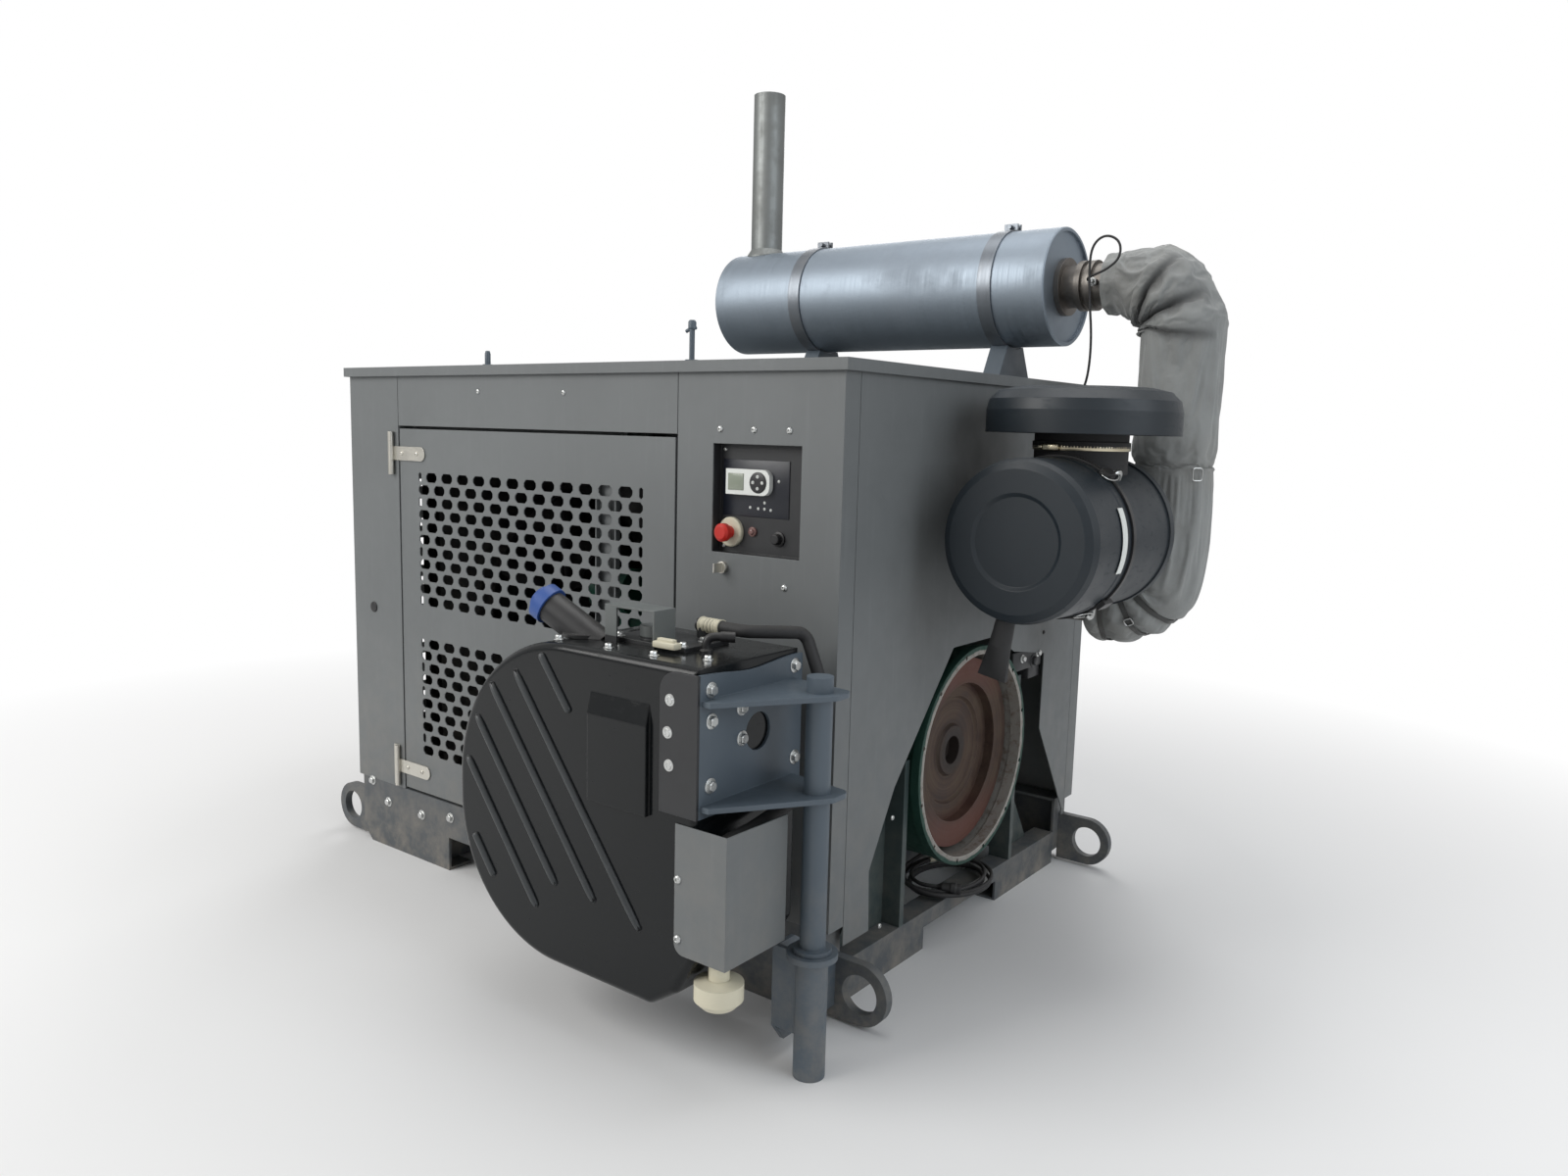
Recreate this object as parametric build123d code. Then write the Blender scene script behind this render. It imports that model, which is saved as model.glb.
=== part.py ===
from build123d import *
import os
from math import cos, radians, sin, sqrt, tan

# Frame of the unit, in millimetres
# +X points to the drive end, the service door faces -Y and +Z is up.
# The origin is on the ground, at the middle of the skid.

# Enclosure
unit_length = 1720.0
unit_width = 1260.0
skid_height = 195.0
roof_height = 1392.0
sheet = 3.0
seam = 2.0
fold_depth = 25.0
lid_overhang = 12.0
lid_skirt = 25.0
corner_return = 54.0
post_size = 40.0
post_wall = 4.0
hinge_side_width = 229.0
control_side_width = 447.0
header_height = 159.0

# Service door and its grilles
door_gap = 6.0
door_top_gap = 8.0
hole_width = 46.0
hole_height = 26.0
hole_corner = 8.0
hole_pitch = 67.0
row_pitch = 34.0
grille_left_margin = 89.0
grille_right_margin = 101.0
grille_top_margin = 125.0
grille_bottom_margin = 121.0
grille_band = 93.0
lower_grille_rows = 10
stiffener_width = 68.0
stiffener_depth = 18.0
stiffener_margin = 196.0

# Door hinges
hinge_from_door = 24.0
hinge_offset = 8.0
hinge_radius = 7.5
hinge_length = 118.0
hinge_pin_radius = 3.5
hinge_pin_play = 0.2
hinge_leaf_width = 22.0
hinge_leaf = 3.6
hinge_end_play = 0.5
strap_length = 145.0
strap_height = 38.0
seat_gap = 0.3
upper_hinge_drop = 76.0
lower_hinge_rise = 67.0

# Control panel
panel_from_door = 105.0
panel_width = 239.0
panel_height = 235.0
panel_from_roof = 177.0
panel_recess = 24.0
panel_flange = 14.0
display_left = 26.0
display_from_top = 53.0
display_width = 120.0
display_height = 55.0
display_depth = 14.0
stop_from_left = 35.0
stop_from_bottom = 44.0
stop_radius = 20.0
stop_stem_radius = 14.0
stop_ring_radius = 30.0
stop_reach = 42.0
key_below_panel = 32.0
key_radius = 13.0
key_reach = 34.0

# Skid
rail_width = 75.0
rail_wall = 8.0
rail_inset = 20.0
rail_chamfer = 38.0
pocket_outer = 432.0
pocket_inner = 190.0
pocket_height = 95.0
beam_top = 94.0
beam_width = 60.0
beam_wall = 6.0
beam_pocket_half = 190.0
beam_pocket_height = 55.0
cross_member_width = 80.0
cross_member_from_pocket = 98.0
lug_radius = 68.0
lug_eye_radius = 43.0
lug_thickness = 22.0
lug_height = 76.0
lug_reach = 70.0
lug_inset = 30.0

# Flywheel housing and flywheel
shaft_y = -13.0
shaft_z = 455.0
housing_bore_radius = 255.6
housing_flange_ring = 20.4
housing_bolt_offset = 9.5
housing_bolt_radius = 5.55
housing_bolt_depth = 20.0
housing_bolt_count = 12
housing_stand_out = 6.0
housing_flange = 22.0
housing_pilot_length = 30.0
housing_depth = 150.0
housing_wall = 12.0
housing_relief = 2.4
crank_boss_radius = 80.0
flywheel_clearance = 18.0
flywheel_setback = 39.6
flywheel_thickness = 70.0
coupling_recess_radius = 176.2
coupling_recess_depth = 26.0
recess_dish_depth = 8.0
recess_dish_inner = 62.0
recess_dish_outer = 138.0
pilot_radius = 36.0
pilot_length = 30.0

# Engine
engine_length = 976.0
block_width = 380.0
block_below_shaft = 125.0
block_above_shaft = 305.0
block_shoulder = 55.0
head_width = 240.0
head_height = 70.0
valve_cover_width = 170.0
valve_cover_height = 70.0
valve_cover_fillet = 22.0
sump_depth = 125.0
sump_width = 280.0
sump_fillet = 25.0
cylinder_count = 6
crankcase_rib = 10.0
manifold_radius = 34.0
manifold_drop = 36.0
port_radius = 24.0
turbo_radius = 78.0
turbo_width = 60.0
turbo_from_housing = 250.0
turbo_reach = 275.0
filter_radius = 52.0
filter_length = 170.0
filter_standoff = 18.0
filter_drop = 60.0
starter_radius = 42.0
starter_drop = 60.0
starter_length = 215.0
alternator_radius = 68.0
alternator_length = 130.0
support_thickness = 18.0
support_gusset = 10.0
near_support_height = 403.0
far_support_height = 516.0
gusset_foot = 190.0
gusset_rise = 290.0
pedestal_width = 55.0

# Cooling
radiator_setback = 80.0
radiator_depth = 80.0
radiator_width = 900.0
radiator_height = 900.0
radiator_foot = 8.0
shroud_depth = 130.0
shroud_wall = 4.0
fan_rise = 235.0
fan_radius = 330.0
fan_tip_clearance = 15.0
fan_hub_radius = 70.0
fan_width = 60.0
fan_blades = 7
fan_pitch_angle = 35.0
fan_shaft_radius = 40.0
louvre_pitch = 60.0
louvre_blade = 46.0
louvre_angle = 35.0
louvre_setback = 16.0
louvre_frame = 34.0

# Exhaust
muffler_from_back = 300.0
muffler_roof_gap = 90.0
muffler_radius = 150.0
muffler_length = 1073.0
muffler_overhang = 28.0
muffler_rim = 10.0
muffler_end_recess = 8.0
band_width = 38.0
band_thickness = 4.0
band_from_left = 300.0
band_from_right = 163.0
band_lug = 20.0
saddle_half_width = 90.0
saddle_length = 50.0
saddle_foot = 6.0
saddle_cup = 20.0
stack_from_left = 78.0
stack_radius = 47.5
stack_wall = 2.5
stack_height = 618.0
stack_collar_radius = 60.0
stack_collar_height = 26.0
exhaust_pipe_radius = 54.0
exhaust_flange_radius = 73.0
exhaust_flange = 14.0
pipe_clamp_width = 16.0
pipe_clamp_height = 9.0
pipe_clamp_offset = 26.0
pipe_clamp_gap = 12.0
sensor_boss_radius = 8.0
sensor_boss_length = 26.0
sensor_boss_setback = 15.0
jacket_from_drum = 112.0
jacket_turn_radius = 130.0
jacket_drop_reach = 335.0
jacket_end_reach = 152.0
jacket_radius = 100.0
jacket_neck_radius = 76.0
jacket_neck_length = 60.0
wall_pipe_z = 824.0

# Air cleaner
cleaner_from_wall = 250.0
cleaner_z = 1029.0
cleaner_radius = 176.0
cleaner_wall_step = 4.0
cleaner_front = -362.0
cleaner_back = 115.0
cleaner_split = -164.0
cleaner_outlet_y = -10.0
cleaner_outlet_radius = 55.0
cover_bead = 26.0
clamp_height = 5.0
clamp_width = 14.0
latch_angles = (52.0, -48.0, 172.0)
latch_length = 46.0
latch_width = 22.0
latch_height = 12.0
cradle_width = 32.0
cradle_half_height = 70.0
cradle_depth = 90.0
front_cradle_y = -100.0
rear_cradle_y = 45.0
neck_y = -48.0
neck_radius = 104.0
neck_clamp_z = 1225.0
neck_clamp_width = 13.0
rain_cap_radius = 215.0
rain_cap_bottom = 1255.0
rain_cap_height = 102.0
rain_cap_wall = 5.0
valve_tilt = 11.0
valve_length = 130.0
valve_root = 55.0
valve_from_front = 48.0

# Swing pole, bracket and tank
pole_from_wall = 90.0
pole_from_side = 185.0
pole_radius = 25.4
pole_play = 0.3
pole_bottom = 30.0
pole_above_ear = 40.0
thrust_collar = 9.0
socket_radius = 31.75
socket_top = 255.0
socket_collar_radius = 50.0
socket_collar = 12.0
gusset_plate = 10.0
gusset_low = 34.0
gusset_corner = 40.0
bracket_from_wall = 18.0
bracket_plate = 6.0
bracket_reach = 215.0
bracket_tail = 90.0
bracket_height = 266.0
bracket_from_tank_top = 10.0
bracket_hole_radius = 37.0
bracket_hole_from_pole = 47.0
bracket_hole_rise = 134.0
ear_plate = 10.0
ear_radius = 45.0
upper_ear_drop = 57.0
lower_ear_rise = 15.0
side_plate_width = 92.0
side_plate_corner = 38.0
tank_length = 684.0
tank_depth = 295.0
tank_top = 822.0
tank_height = 670.0
tank_fillet = 16.0
tank_shoulder_radius = 330.0
tank_belly_radius = 300.0
tank_heel_radius = 30.0
rib_width = 14.0
rib_height = 5.0
rib_angle = 51.76
rib_layout = (
    ((267, 27), 137), ((187, 70), 584), ((111, 108), 506),
    ((64, 185), 401), ((33, 281), 358), ((54, 449), 103),
)
pad_left = 411.0
pad_width = 156.0
pad_drop = 82.0
pad_height = 213.0
pad_raise = 10.0
pad_slope = 40.0
neck_flange_radius = 46.0
filler_radius = 34.0
filler_length = 106.0
filler_lean = 30.0
cap_radius = 40.0
cap_height = 36.0
guard_height = 75.0
guard_plate = 4.0
guard_left = 366.0
guard_width = 134.0
guard_depth = 60.0
guard_post = 32.0
header_plate = 8.0
header_length = 200.0
header_depth = 130.0
connector_radius = 14.0
connector_length = 62.0
hose_radius = 13.0
cover_left = 53.0
cover_right = 71.0
cover_gap = 16.0
cover_height = 250.0
cover_depth = 178.0
bowl_radius = 47.0
bowl_height = 53.0
bowl_neck_radius = 20.0
bowl_neck_drop = 45.0
pump_radius = 22.0
pump_height = 140.0
bowl_from_bracket = 18.0
bowl_from_front = 45.0

# Loose cables
lead_radius = 3.0
harness_radius = 5.0
coil_radius = 95.0
coil_section_radius = 24.0
coil_straight = 72.0
coil_from_beam = 16.0

half_length = unit_length / 2
half_width = unit_width / 2
wall_top = roof_height - sheet
rail_length = unit_length - 2 * rail_inset
door_left = -half_length + hinge_side_width
door_right = half_length - control_side_width
door_top = roof_height - header_height
hinge_x = door_left - hinge_from_door
hinge_y = -half_width - hinge_offset
hinge_heights = (door_top - upper_hinge_drop, skid_height + lower_hinge_rise)
panel_left = door_right + panel_from_door
panel_right = panel_left + panel_width
panel_top = roof_height - panel_from_roof
panel_bottom = panel_top - panel_height
panel_back_y = -half_width + sheet + panel_recess
cross_member_x = pocket_outer + cross_member_from_pocket
housing_face = half_length + housing_stand_out
housing_back = housing_face - housing_depth
housing_flange_radius = housing_bore_radius + housing_flange_ring
housing_bolt_circle = 2 * (housing_bore_radius + housing_bolt_offset)
housing_inner_radius = housing_bore_radius + housing_relief
flywheel_radius = housing_inner_radius - flywheel_clearance
flywheel_face = housing_face - flywheel_setback
flywheel_back = flywheel_face - flywheel_thickness
engine_front = housing_back - engine_length
fan_x = -half_length + radiator_setback + radiator_depth + shroud_depth - fan_width / 2
fan_z = shaft_z + fan_rise
block_bottom = shaft_z - block_below_shaft
block_top = shaft_z + block_above_shaft
muffler_y = half_width - muffler_from_back
muffler_z = roof_height + muffler_roof_gap + muffler_radius
muffler_right = half_length + muffler_overhang
muffler_left = muffler_right - muffler_length
band_positions = (muffler_left + band_from_left, muffler_right - band_from_right)
stack_x = muffler_left + stack_from_left
stack_top = muffler_z + stack_height
jacket_start_x = muffler_right + jacket_from_drum
jacket_drop_x = half_length + jacket_drop_reach
jacket_end_x = half_length + jacket_end_reach
cleaner_x = half_length + cleaner_from_wall
canister_radius = cleaner_radius - cleaner_wall_step
rain_cap_top = rain_cap_bottom + rain_cap_height
pole_x = half_length + pole_from_wall
pole_y = -half_width - pole_from_side
bracket_x = half_length - bracket_from_wall
bracket_front = pole_y - bracket_reach
bracket_back = pole_y + bracket_tail
bracket_top = tank_top - bracket_from_tank_top
bracket_bottom = bracket_top - bracket_height
upper_ear_z = bracket_top - upper_ear_drop
lower_ear_z = bracket_bottom + lower_ear_rise
tank_right = bracket_x - bracket_plate
tank_left = tank_right - tank_length
tank_front = bracket_front
tank_back = tank_front + tank_depth
tank_bottom = tank_top - tank_height
cover_top = bracket_bottom - cover_gap
cover_bottom = cover_top - cover_height
coil_x = half_length - rail_inset - beam_width + coil_from_beam


def block(x0, x1, y0, y1, z0, z1):
    """Rectangular solid between two opposite corners."""
    centre = Pos((x0 + x1) / 2, (y0 + y1) / 2, (z0 + z1) / 2)
    return centre * Box(x1 - x0, y1 - y0, z1 - z0)


def bar(radius, start, end):
    """Round bar from one point to another."""
    line = Vector(*end) - Vector(*start)
    return extrude(Plane(origin=start, z_dir=line) * Circle(radius), line.length)


def tube(outer, inner, start, end):
    """Round tube from one point to another."""
    return bar(outer, start, end) - bar(inner, start, end)


def turned(profile, origin, axis):
    """Revolve (distance along axis, radius) points about an axis."""
    side = (0, 1, 0) if abs(axis[1]) < 0.5 else (1, 0, 0)
    plane = Plane(origin=origin, x_dir=axis, z_dir=side)
    return revolve(plane * make_face(Polyline(*profile, close=True)), Axis(origin, axis), 360)


def mirrored(shape):
    """The same piece on the other long side."""
    return mirror(shape, about=Plane.XZ)


def routed(points, radius):
    """Round cord along straight runs joined by arcs as large as the runs allow."""
    corners = [Vector(*point) for point in points]
    bends = []
    for before, here, after in zip(corners, corners[1:], corners[2:]):
        turn = radians((here - before).get_angle(after - here))
        run = min((here - before).length, (after - here).length)
        bends.append(0.45 * run / tan(turn / 2))
    path = FilletPolyline(*points, radius=bends)
    print("cord radii", [round(bend, 1) for bend in bends], "length", round(path.length, 1))
    return sweep(Plane(origin=path @ 0, z_dir=path % 0) * Circle(radius), path=path)


# Skid

def side_rail():
    """Channel rail on the door side, open inward, notched for lifting forks."""
    half = rail_length / 2
    inner_y = -half_width + rail_width
    rail = block(-half, half, -half_width, inner_y, 0, skid_height)
    rail -= block(
        -half + rail_wall, half - rail_wall, -half_width + rail_wall, inner_y,
        rail_wall, skid_height - rail_wall,
    )
    for side in (-1, 1):
        x0, x1 = sorted((side * pocket_inner, side * pocket_outer))
        rail -= block(x0, x1, -half_width, inner_y, 0, pocket_height)
        end = side * half
        corner = Polyline((end, 0), (end, rail_chamfer), (end - side * rail_chamfer, 0), close=True)
        rail -= extrude(Plane.XZ * make_face(corner), half_width, both=True)
    return rail


def end_beams():
    """Rectangular tubes across the ends of the skid, each with a fork notch."""
    beams = []
    reach = half_width - rail_width
    for side in (-1, 1):
        outer_x = side * (half_length - rail_inset)
        x0, x1 = sorted((outer_x, outer_x - side * beam_width))
        beam = block(x0, x1, -reach, reach, 0, beam_top)
        beam -= block(
            x0 + beam_wall, x1 - beam_wall, -reach, reach, beam_wall, beam_top - beam_wall
        )
        beam -= block(x0, x1, -beam_pocket_half, beam_pocket_half, 0, beam_pocket_height)
        beams.append(beam)
    return Compound(beams)


def cross_members():
    """Channels across the skid; the middle one stands on a foot plate."""
    reach = half_width - rail_wall
    half = cross_member_width / 2
    members = []
    for x in (-cross_member_x, 0.0, cross_member_x):
        member = block(x - half, x + half, -reach, reach, rail_wall, pocket_height)
        member -= block(
            x - half + beam_wall, x + half - beam_wall, -reach, reach,
            rail_wall, pocket_height - beam_wall,
        )
        members.append(member)
    inner = half_width - rail_width
    members[1] += block(-half, half, -inner, inner, 0, rail_wall)
    return Compound(members)


def lifting_lug(side_x, side_y):
    """Eye plate welded to the end of a rail."""
    x_eye = side_x * (half_length + lug_reach)
    x0, x1 = sorted((side_x * rail_length / 2, x_eye))
    outline = Pos(x_eye, lug_height) * Circle(lug_radius)
    outline += Pos((x0 + x1) / 2, lug_height) * Rectangle(x1 - x0, 2 * lug_radius)
    outline -= Pos(x_eye, lug_height) * Circle(lug_eye_radius)
    plate = extrude(Plane.XZ * outline, lug_thickness / 2, both=True)
    return Pos(0, side_y * (half_width - lug_inset), 0) * plate


# Enclosure

def corner_posts():
    """Angle posts at the corners and at both sides of each doorway."""
    posts = []
    for side_y in (-1, 1):
        face = side_y * (half_width - sheet)
        inner = side_y * (half_width - sheet - post_size)
        y0, y1 = sorted((face, inner))
        w0, w1 = sorted((face, face - side_y * post_wall))
        for x0, leg_x in (
            (-half_length + sheet, -half_length + sheet),
            (door_left - post_size, door_left - post_wall),
            (door_right, door_right),
            (half_length - sheet - post_size, half_length - sheet - post_wall),
        ):
            flat = block(x0, x0 + post_size, w0, w1, skid_height, wall_top)
            leg = block(leg_x, leg_x + post_wall, y0, y1, skid_height, wall_top)
            posts.append(flat + leg)
    return Compound(posts)


def side_sheet(x0, x1, z0, z1):
    """Flat panel of the door side."""
    return block(x0, x1, -half_width, -half_width + sheet, z0, z1)


def left_side_panel():
    """Panel beside the hinges, wrapped round the radiator end's corner."""
    panel = side_sheet(-half_length, door_left - seam / 2, skid_height, wall_top)
    return panel + block(
        -half_length, -half_length + sheet, -half_width, -half_width + corner_return,
        skid_height, wall_top,
    )


def door_header():
    """Panel over the doorway, folded inward along its lower edge."""
    x0 = door_left + seam / 2
    x1 = door_right - seam / 2
    header = side_sheet(x0, x1, door_top, wall_top)
    return header + block(
        x0, x1, -half_width, -half_width + fold_depth, door_top, door_top + sheet
    )


def drive_side_panel():
    """Panel between the doorway and the drive end, wrapped round the corner."""
    panel = side_sheet(door_right + seam / 2, half_length, skid_height, wall_top)
    return panel + block(
        half_length - sheet, half_length, -half_width, -half_width + corner_return,
        skid_height, wall_top,
    )


def control_side_panel():
    """Drive side panel with the cut-out for the control panel."""
    return drive_side_panel() - block(
        panel_left, panel_right, -half_width, -half_width + sheet, panel_bottom, panel_top
    )


def back_panels():
    """The three fixed panels of the back side."""
    panels = [left_side_panel(), door_header(), drive_side_panel()]
    return Compound([mirrored(panel) for panel in panels])


def hole_outline(x0, x1, z, corner):
    """Wire of one grille hole, a rectangle with its corners cut."""
    z0 = z - hole_height / 2
    z1 = z + hole_height / 2
    points = [(x0, z0), (x1, z0), (x1, z1), (x0, z1)]
    if corner > 0:
        c = min(corner, (x1 - x0) / 3)
        points = [
            (x0 + c, z0), (x1 - c, z0), (x1, z0 + c), (x1, z1 - c),
            (x1 - c, z1), (x0 + c, z1), (x0, z1 - c), (x0, z0 + c),
        ]
    return Wire.make_polygon([(px, 0, pz) for px, pz in points], close=True)


def grille(top, rows, corner):
    """Staggered rows of holes; every other row ends in half holes."""
    left = door_left + grille_left_margin
    right = door_right - grille_right_margin
    count = int((right - left - hole_width) // hole_pitch) + 1
    end = left + (count - 1) * hole_pitch + hole_width
    half_hole = hole_width - hole_pitch / 2
    wires = []
    for row in range(rows):
        z = top - hole_height / 2 - row * row_pitch
        if row % 2:
            starts = [left + k * hole_pitch for k in range(count)]
        else:
            starts = [left + (k + 0.5) * hole_pitch for k in range(count - 1)]
            wires.append(hole_outline(left, left + half_hole, z, corner))
            wires.append(hole_outline(end - half_hole, end, z, corner))
        wires += [hole_outline(x, x + hole_width, z, corner) for x in starts]
    return wires


def upper_grille(corner):
    """Holes from under the door's top down to the plain band."""
    top = door_top - grille_top_margin
    low = lower_grille_top() + grille_band
    rows = int((top - low - hole_height) // row_pitch) + 1
    return grille(top, rows, corner)


def lower_grille_top():
    """Upper edge of the lower grille's first row."""
    return skid_height + grille_bottom_margin + (lower_grille_rows - 1) * row_pitch + hole_height


def punched_sheet(x0, x1, z0, z1, holes):
    """Flat sheet in the XZ plane with holes punched through it."""
    edge = Wire.make_polygon([(x0, 0, z0), (x1, 0, z0), (x1, 0, z1), (x0, 0, z1)], close=True)
    return extrude(Face(edge, holes), amount=sheet, dir=(0, 1, 0))


def service_door():
    """Door leaf: punched sheet, folded edges and an upright stiffener."""
    x0 = door_left + door_gap
    x1 = door_right - door_gap
    z0 = skid_height + door_top_gap
    z1 = door_top - door_top_gap
    y0 = -half_width
    y1 = -half_width + fold_depth
    holes = upper_grille(hole_corner) + grille(lower_grille_top(), lower_grille_rows, hole_corner)
    leaf = Pos(0, -half_width, 0) * punched_sheet(x0, x1, z0, z1, holes)
    leaf += block(x0, x0 + sheet, y0, y1, z0, z1)
    leaf += block(x1 - sheet, x1, y0, y1, z0, z1)
    leaf += block(x0, x1, y0, y1, z0, z0 + sheet)
    leaf += block(x0, x1, y0, y1, z1 - sheet, z1)
    s1 = door_right - stiffener_margin
    s0 = s1 - stiffener_width
    hat = block(s0, s1, y0 + sheet, y0 + stiffener_depth, z0, z1)
    hat -= block(s0 + sheet, s1 - sheet, y0 + sheet, y0 + stiffener_depth - sheet, z0, z1)
    return leaf + hat


def hinge_fixed_leaves():
    """Outer knuckles, pins and narrow leaves on the enclosure."""
    leaves = []
    for mid in hinge_heights:
        z0 = mid - hinge_length / 2
        z1 = mid + hinge_length / 2
        gap0 = mid - strap_height / 2 - hinge_end_play
        gap1 = mid + strap_height / 2 + hinge_end_play
        leaf = block(
            hinge_x - hinge_leaf_width, hinge_x, -half_width - hinge_leaf, -half_width, z0, z1
        )
        leaf -= bar(hinge_radius + 1.5, (hinge_x, hinge_y, gap0), (hinge_x, hinge_y, gap1))
        leaf += bar(hinge_radius, (hinge_x, hinge_y, z0), (hinge_x, hinge_y, gap0))
        leaf += bar(hinge_radius, (hinge_x, hinge_y, gap1), (hinge_x, hinge_y, z1))
        leaf += bar(hinge_pin_radius, (hinge_x, hinge_y, z0), (hinge_x, hinge_y, z1))
        leaves.append(leaf)
    return Compound(leaves)


def hinge_straps():
    """Straps on the door with the middle knuckle of each hinge."""
    straps = []
    tip = hinge_x + strap_length - strap_height / 2
    face = -half_width - seat_gap
    for mid in hinge_heights:
        low = mid - strap_height / 2
        high = mid + strap_height / 2
        strap = block(hinge_x, tip, face - hinge_leaf, face, low, high)
        strap += bar(strap_height / 2, (tip, face - hinge_leaf, mid), (tip, face, mid))
        strap += bar(hinge_radius, (hinge_x, hinge_y, low), (hinge_x, hinge_y, high))
        strap -= bar(
            hinge_pin_radius + hinge_pin_play, (hinge_x, hinge_y, low), (hinge_x, hinge_y, high)
        )
        straps.append(strap)
    return Compound(straps)


def control_panel():
    """Shallow tray behind the cut-out that carries the instruments."""
    front = -half_width + sheet
    tray = block(
        panel_left - panel_flange, panel_right + panel_flange, front, panel_back_y + sheet,
        panel_bottom - panel_flange, panel_top + panel_flange,
    )
    return tray - block(panel_left, panel_right, front, panel_back_y, panel_bottom, panel_top)


def control_display():
    """Display module, rounded at its right side."""
    x0 = panel_left + display_left
    z1 = panel_top - display_from_top
    body = block(
        x0, x0 + display_width, panel_back_y - display_depth, panel_back_y,
        z1 - display_height, z1,
    )
    return fillet(body.edges().filter_by(Axis.Y).group_by(Axis.X)[-1], display_height / 3)


def stop_button():
    """Emergency stop: ring, stem and mushroom head."""
    x = panel_left + stop_from_left
    z = panel_bottom + stop_from_bottom
    head = stop_reach - 16
    profile = (
        (0, 0), (0, stop_ring_radius), (6, stop_ring_radius), (8, stop_ring_radius - 3),
        (8, stop_stem_radius), (head, stop_stem_radius), (head, stop_radius),
        (stop_reach - 5, stop_radius), (stop_reach, stop_radius - 6), (stop_reach, 0),
    )
    return turned(profile, (x, panel_back_y, z), (0, -1, 0))


def key_switch():
    """Key switch with its key turned upright."""
    x = panel_left + stop_from_left
    z = panel_bottom - key_below_panel
    y = -half_width
    collar = 9.0
    body = bar(key_radius, (x, y, z), (x, y - collar, z))
    return body + block(x - 1.5, x + 1.5, y - key_reach, y - collar, z - 10, z + 10)


def end_opening():
    """Outline of the drive end opening round the flywheel housing."""
    reach = housing_flange_radius
    foot = skid_height - sheet - 80
    points = (
        (shaft_y - reach - 182, foot), (shaft_y - reach - 191, shaft_z - 165),
        (shaft_y - reach - 96, shaft_z + 4), (shaft_y - reach + 150, shaft_z + reach + 13),
        (shaft_y + 93, shaft_z + reach + 13), (shaft_y + reach - 74, shaft_z + reach - 42),
        (shaft_y + reach + 114, shaft_z + reach - 72), (shaft_y + reach + 111, shaft_z - 8),
        (shaft_y + reach + 298, shaft_z - 286),
        (shaft_y + reach + 298, foot),
    )
    return make_face(Polyline(*points, close=True))


def end_sheet():
    """Face of an end wall between the wrapped corners, down over the beam."""
    half = half_width - corner_return - seam
    low = skid_height - 45
    return Pos(0, (low + wall_top) / 2) * Rectangle(2 * half, wall_top - low)


def drive_end_wall():
    """Wall round the flywheel housing, with holes for the two pipes."""
    outline = end_sheet() - end_opening()
    outline -= Pos(muffler_y, wall_pipe_z) * Circle(exhaust_pipe_radius + sheet)
    outline -= Pos(cleaner_outlet_y, cleaner_z) * Circle(cleaner_outlet_radius + sheet)
    return Pos(half_length - sheet, 0, 0) * extrude(Plane.YZ * outline, sheet)


def radiator_end_wall():
    """Wall round the radiator outlet, closed by fixed louvres."""
    mid = (skid_height + wall_top) / 2
    outline = end_sheet() - Pos(0, mid) * Rectangle(radiator_width, radiator_height)
    return Pos(-half_length, 0, 0) * extrude(Plane.YZ * outline, sheet)


def radiator_louvres():
    """Sloping blades between two side frames across the radiator outlet."""
    mid = (skid_height + wall_top) / 2
    count = int(radiator_height // louvre_pitch)
    first = mid - (count - 1) * louvre_pitch / 2
    x = -half_length + sheet
    half = radiator_width / 2
    rise = radiator_height / 2
    louvres = block(x, x + louvre_frame, half - 1, half + 5, mid - rise, mid + rise)
    louvres += mirrored(louvres)
    for k in range(count):
        tilt = Pos(x + louvre_setback, 0, first + k * louvre_pitch) * Rot(0, louvre_angle, 0)
        louvres += tilt * Box(sheet, 2 * half - 2, louvre_blade)
    return louvres


def roof_lid():
    """Roof with a skirt that laps the walls."""
    x = half_length + lid_overhang
    y = half_width + lid_overhang
    low = roof_height - lid_skirt
    lid = block(-x, x, -y, y, low, roof_height)
    return lid - block(-x + sheet, x - sheet, -y + sheet, y - sheet, low, wall_top)


def back_service_panel():
    """Fixed panel of the back side with its upper grille, screwed to the posts."""
    sheet_body = punched_sheet(
        door_left + seam / 2, door_right - seam / 2, skid_height, door_top - seam, upper_grille(0)
    )
    return Pos(0, half_width - sheet, 0) * sheet_body


# Drive end

def flywheel_housing():
    """Bell with a bolted flange; its bore locates the driven machine."""
    face = housing_face
    back = housing_back
    inner = housing_inner_radius
    outer = inner + housing_wall
    cone = 32.0
    profile = (
        (back, crank_boss_radius + 10), (back, outer - 40), (back + 40, outer),
        (face - housing_flange, outer), (face - housing_flange, housing_flange_radius),
        (face, housing_flange_radius), (face, housing_bore_radius),
        (face - housing_pilot_length, housing_bore_radius), (face - housing_pilot_length, inner),
        (back + housing_wall + cone, inner), (back + housing_wall, inner - cone),
        (back + housing_wall, crank_boss_radius + 10),
    )
    housing = turned(profile, (0, shaft_y, shaft_z), (1, 0, 0))
    for k in range(housing_bolt_count):
        angle = radians(360 / housing_bolt_count * (k + 0.5))
        y = shaft_y + housing_bolt_circle / 2 * cos(angle)
        z = shaft_z + housing_bolt_circle / 2 * sin(angle)
        housing -= bar(housing_bolt_radius, (face - housing_bolt_depth, y, z), (face, y, z))
    return housing


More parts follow.
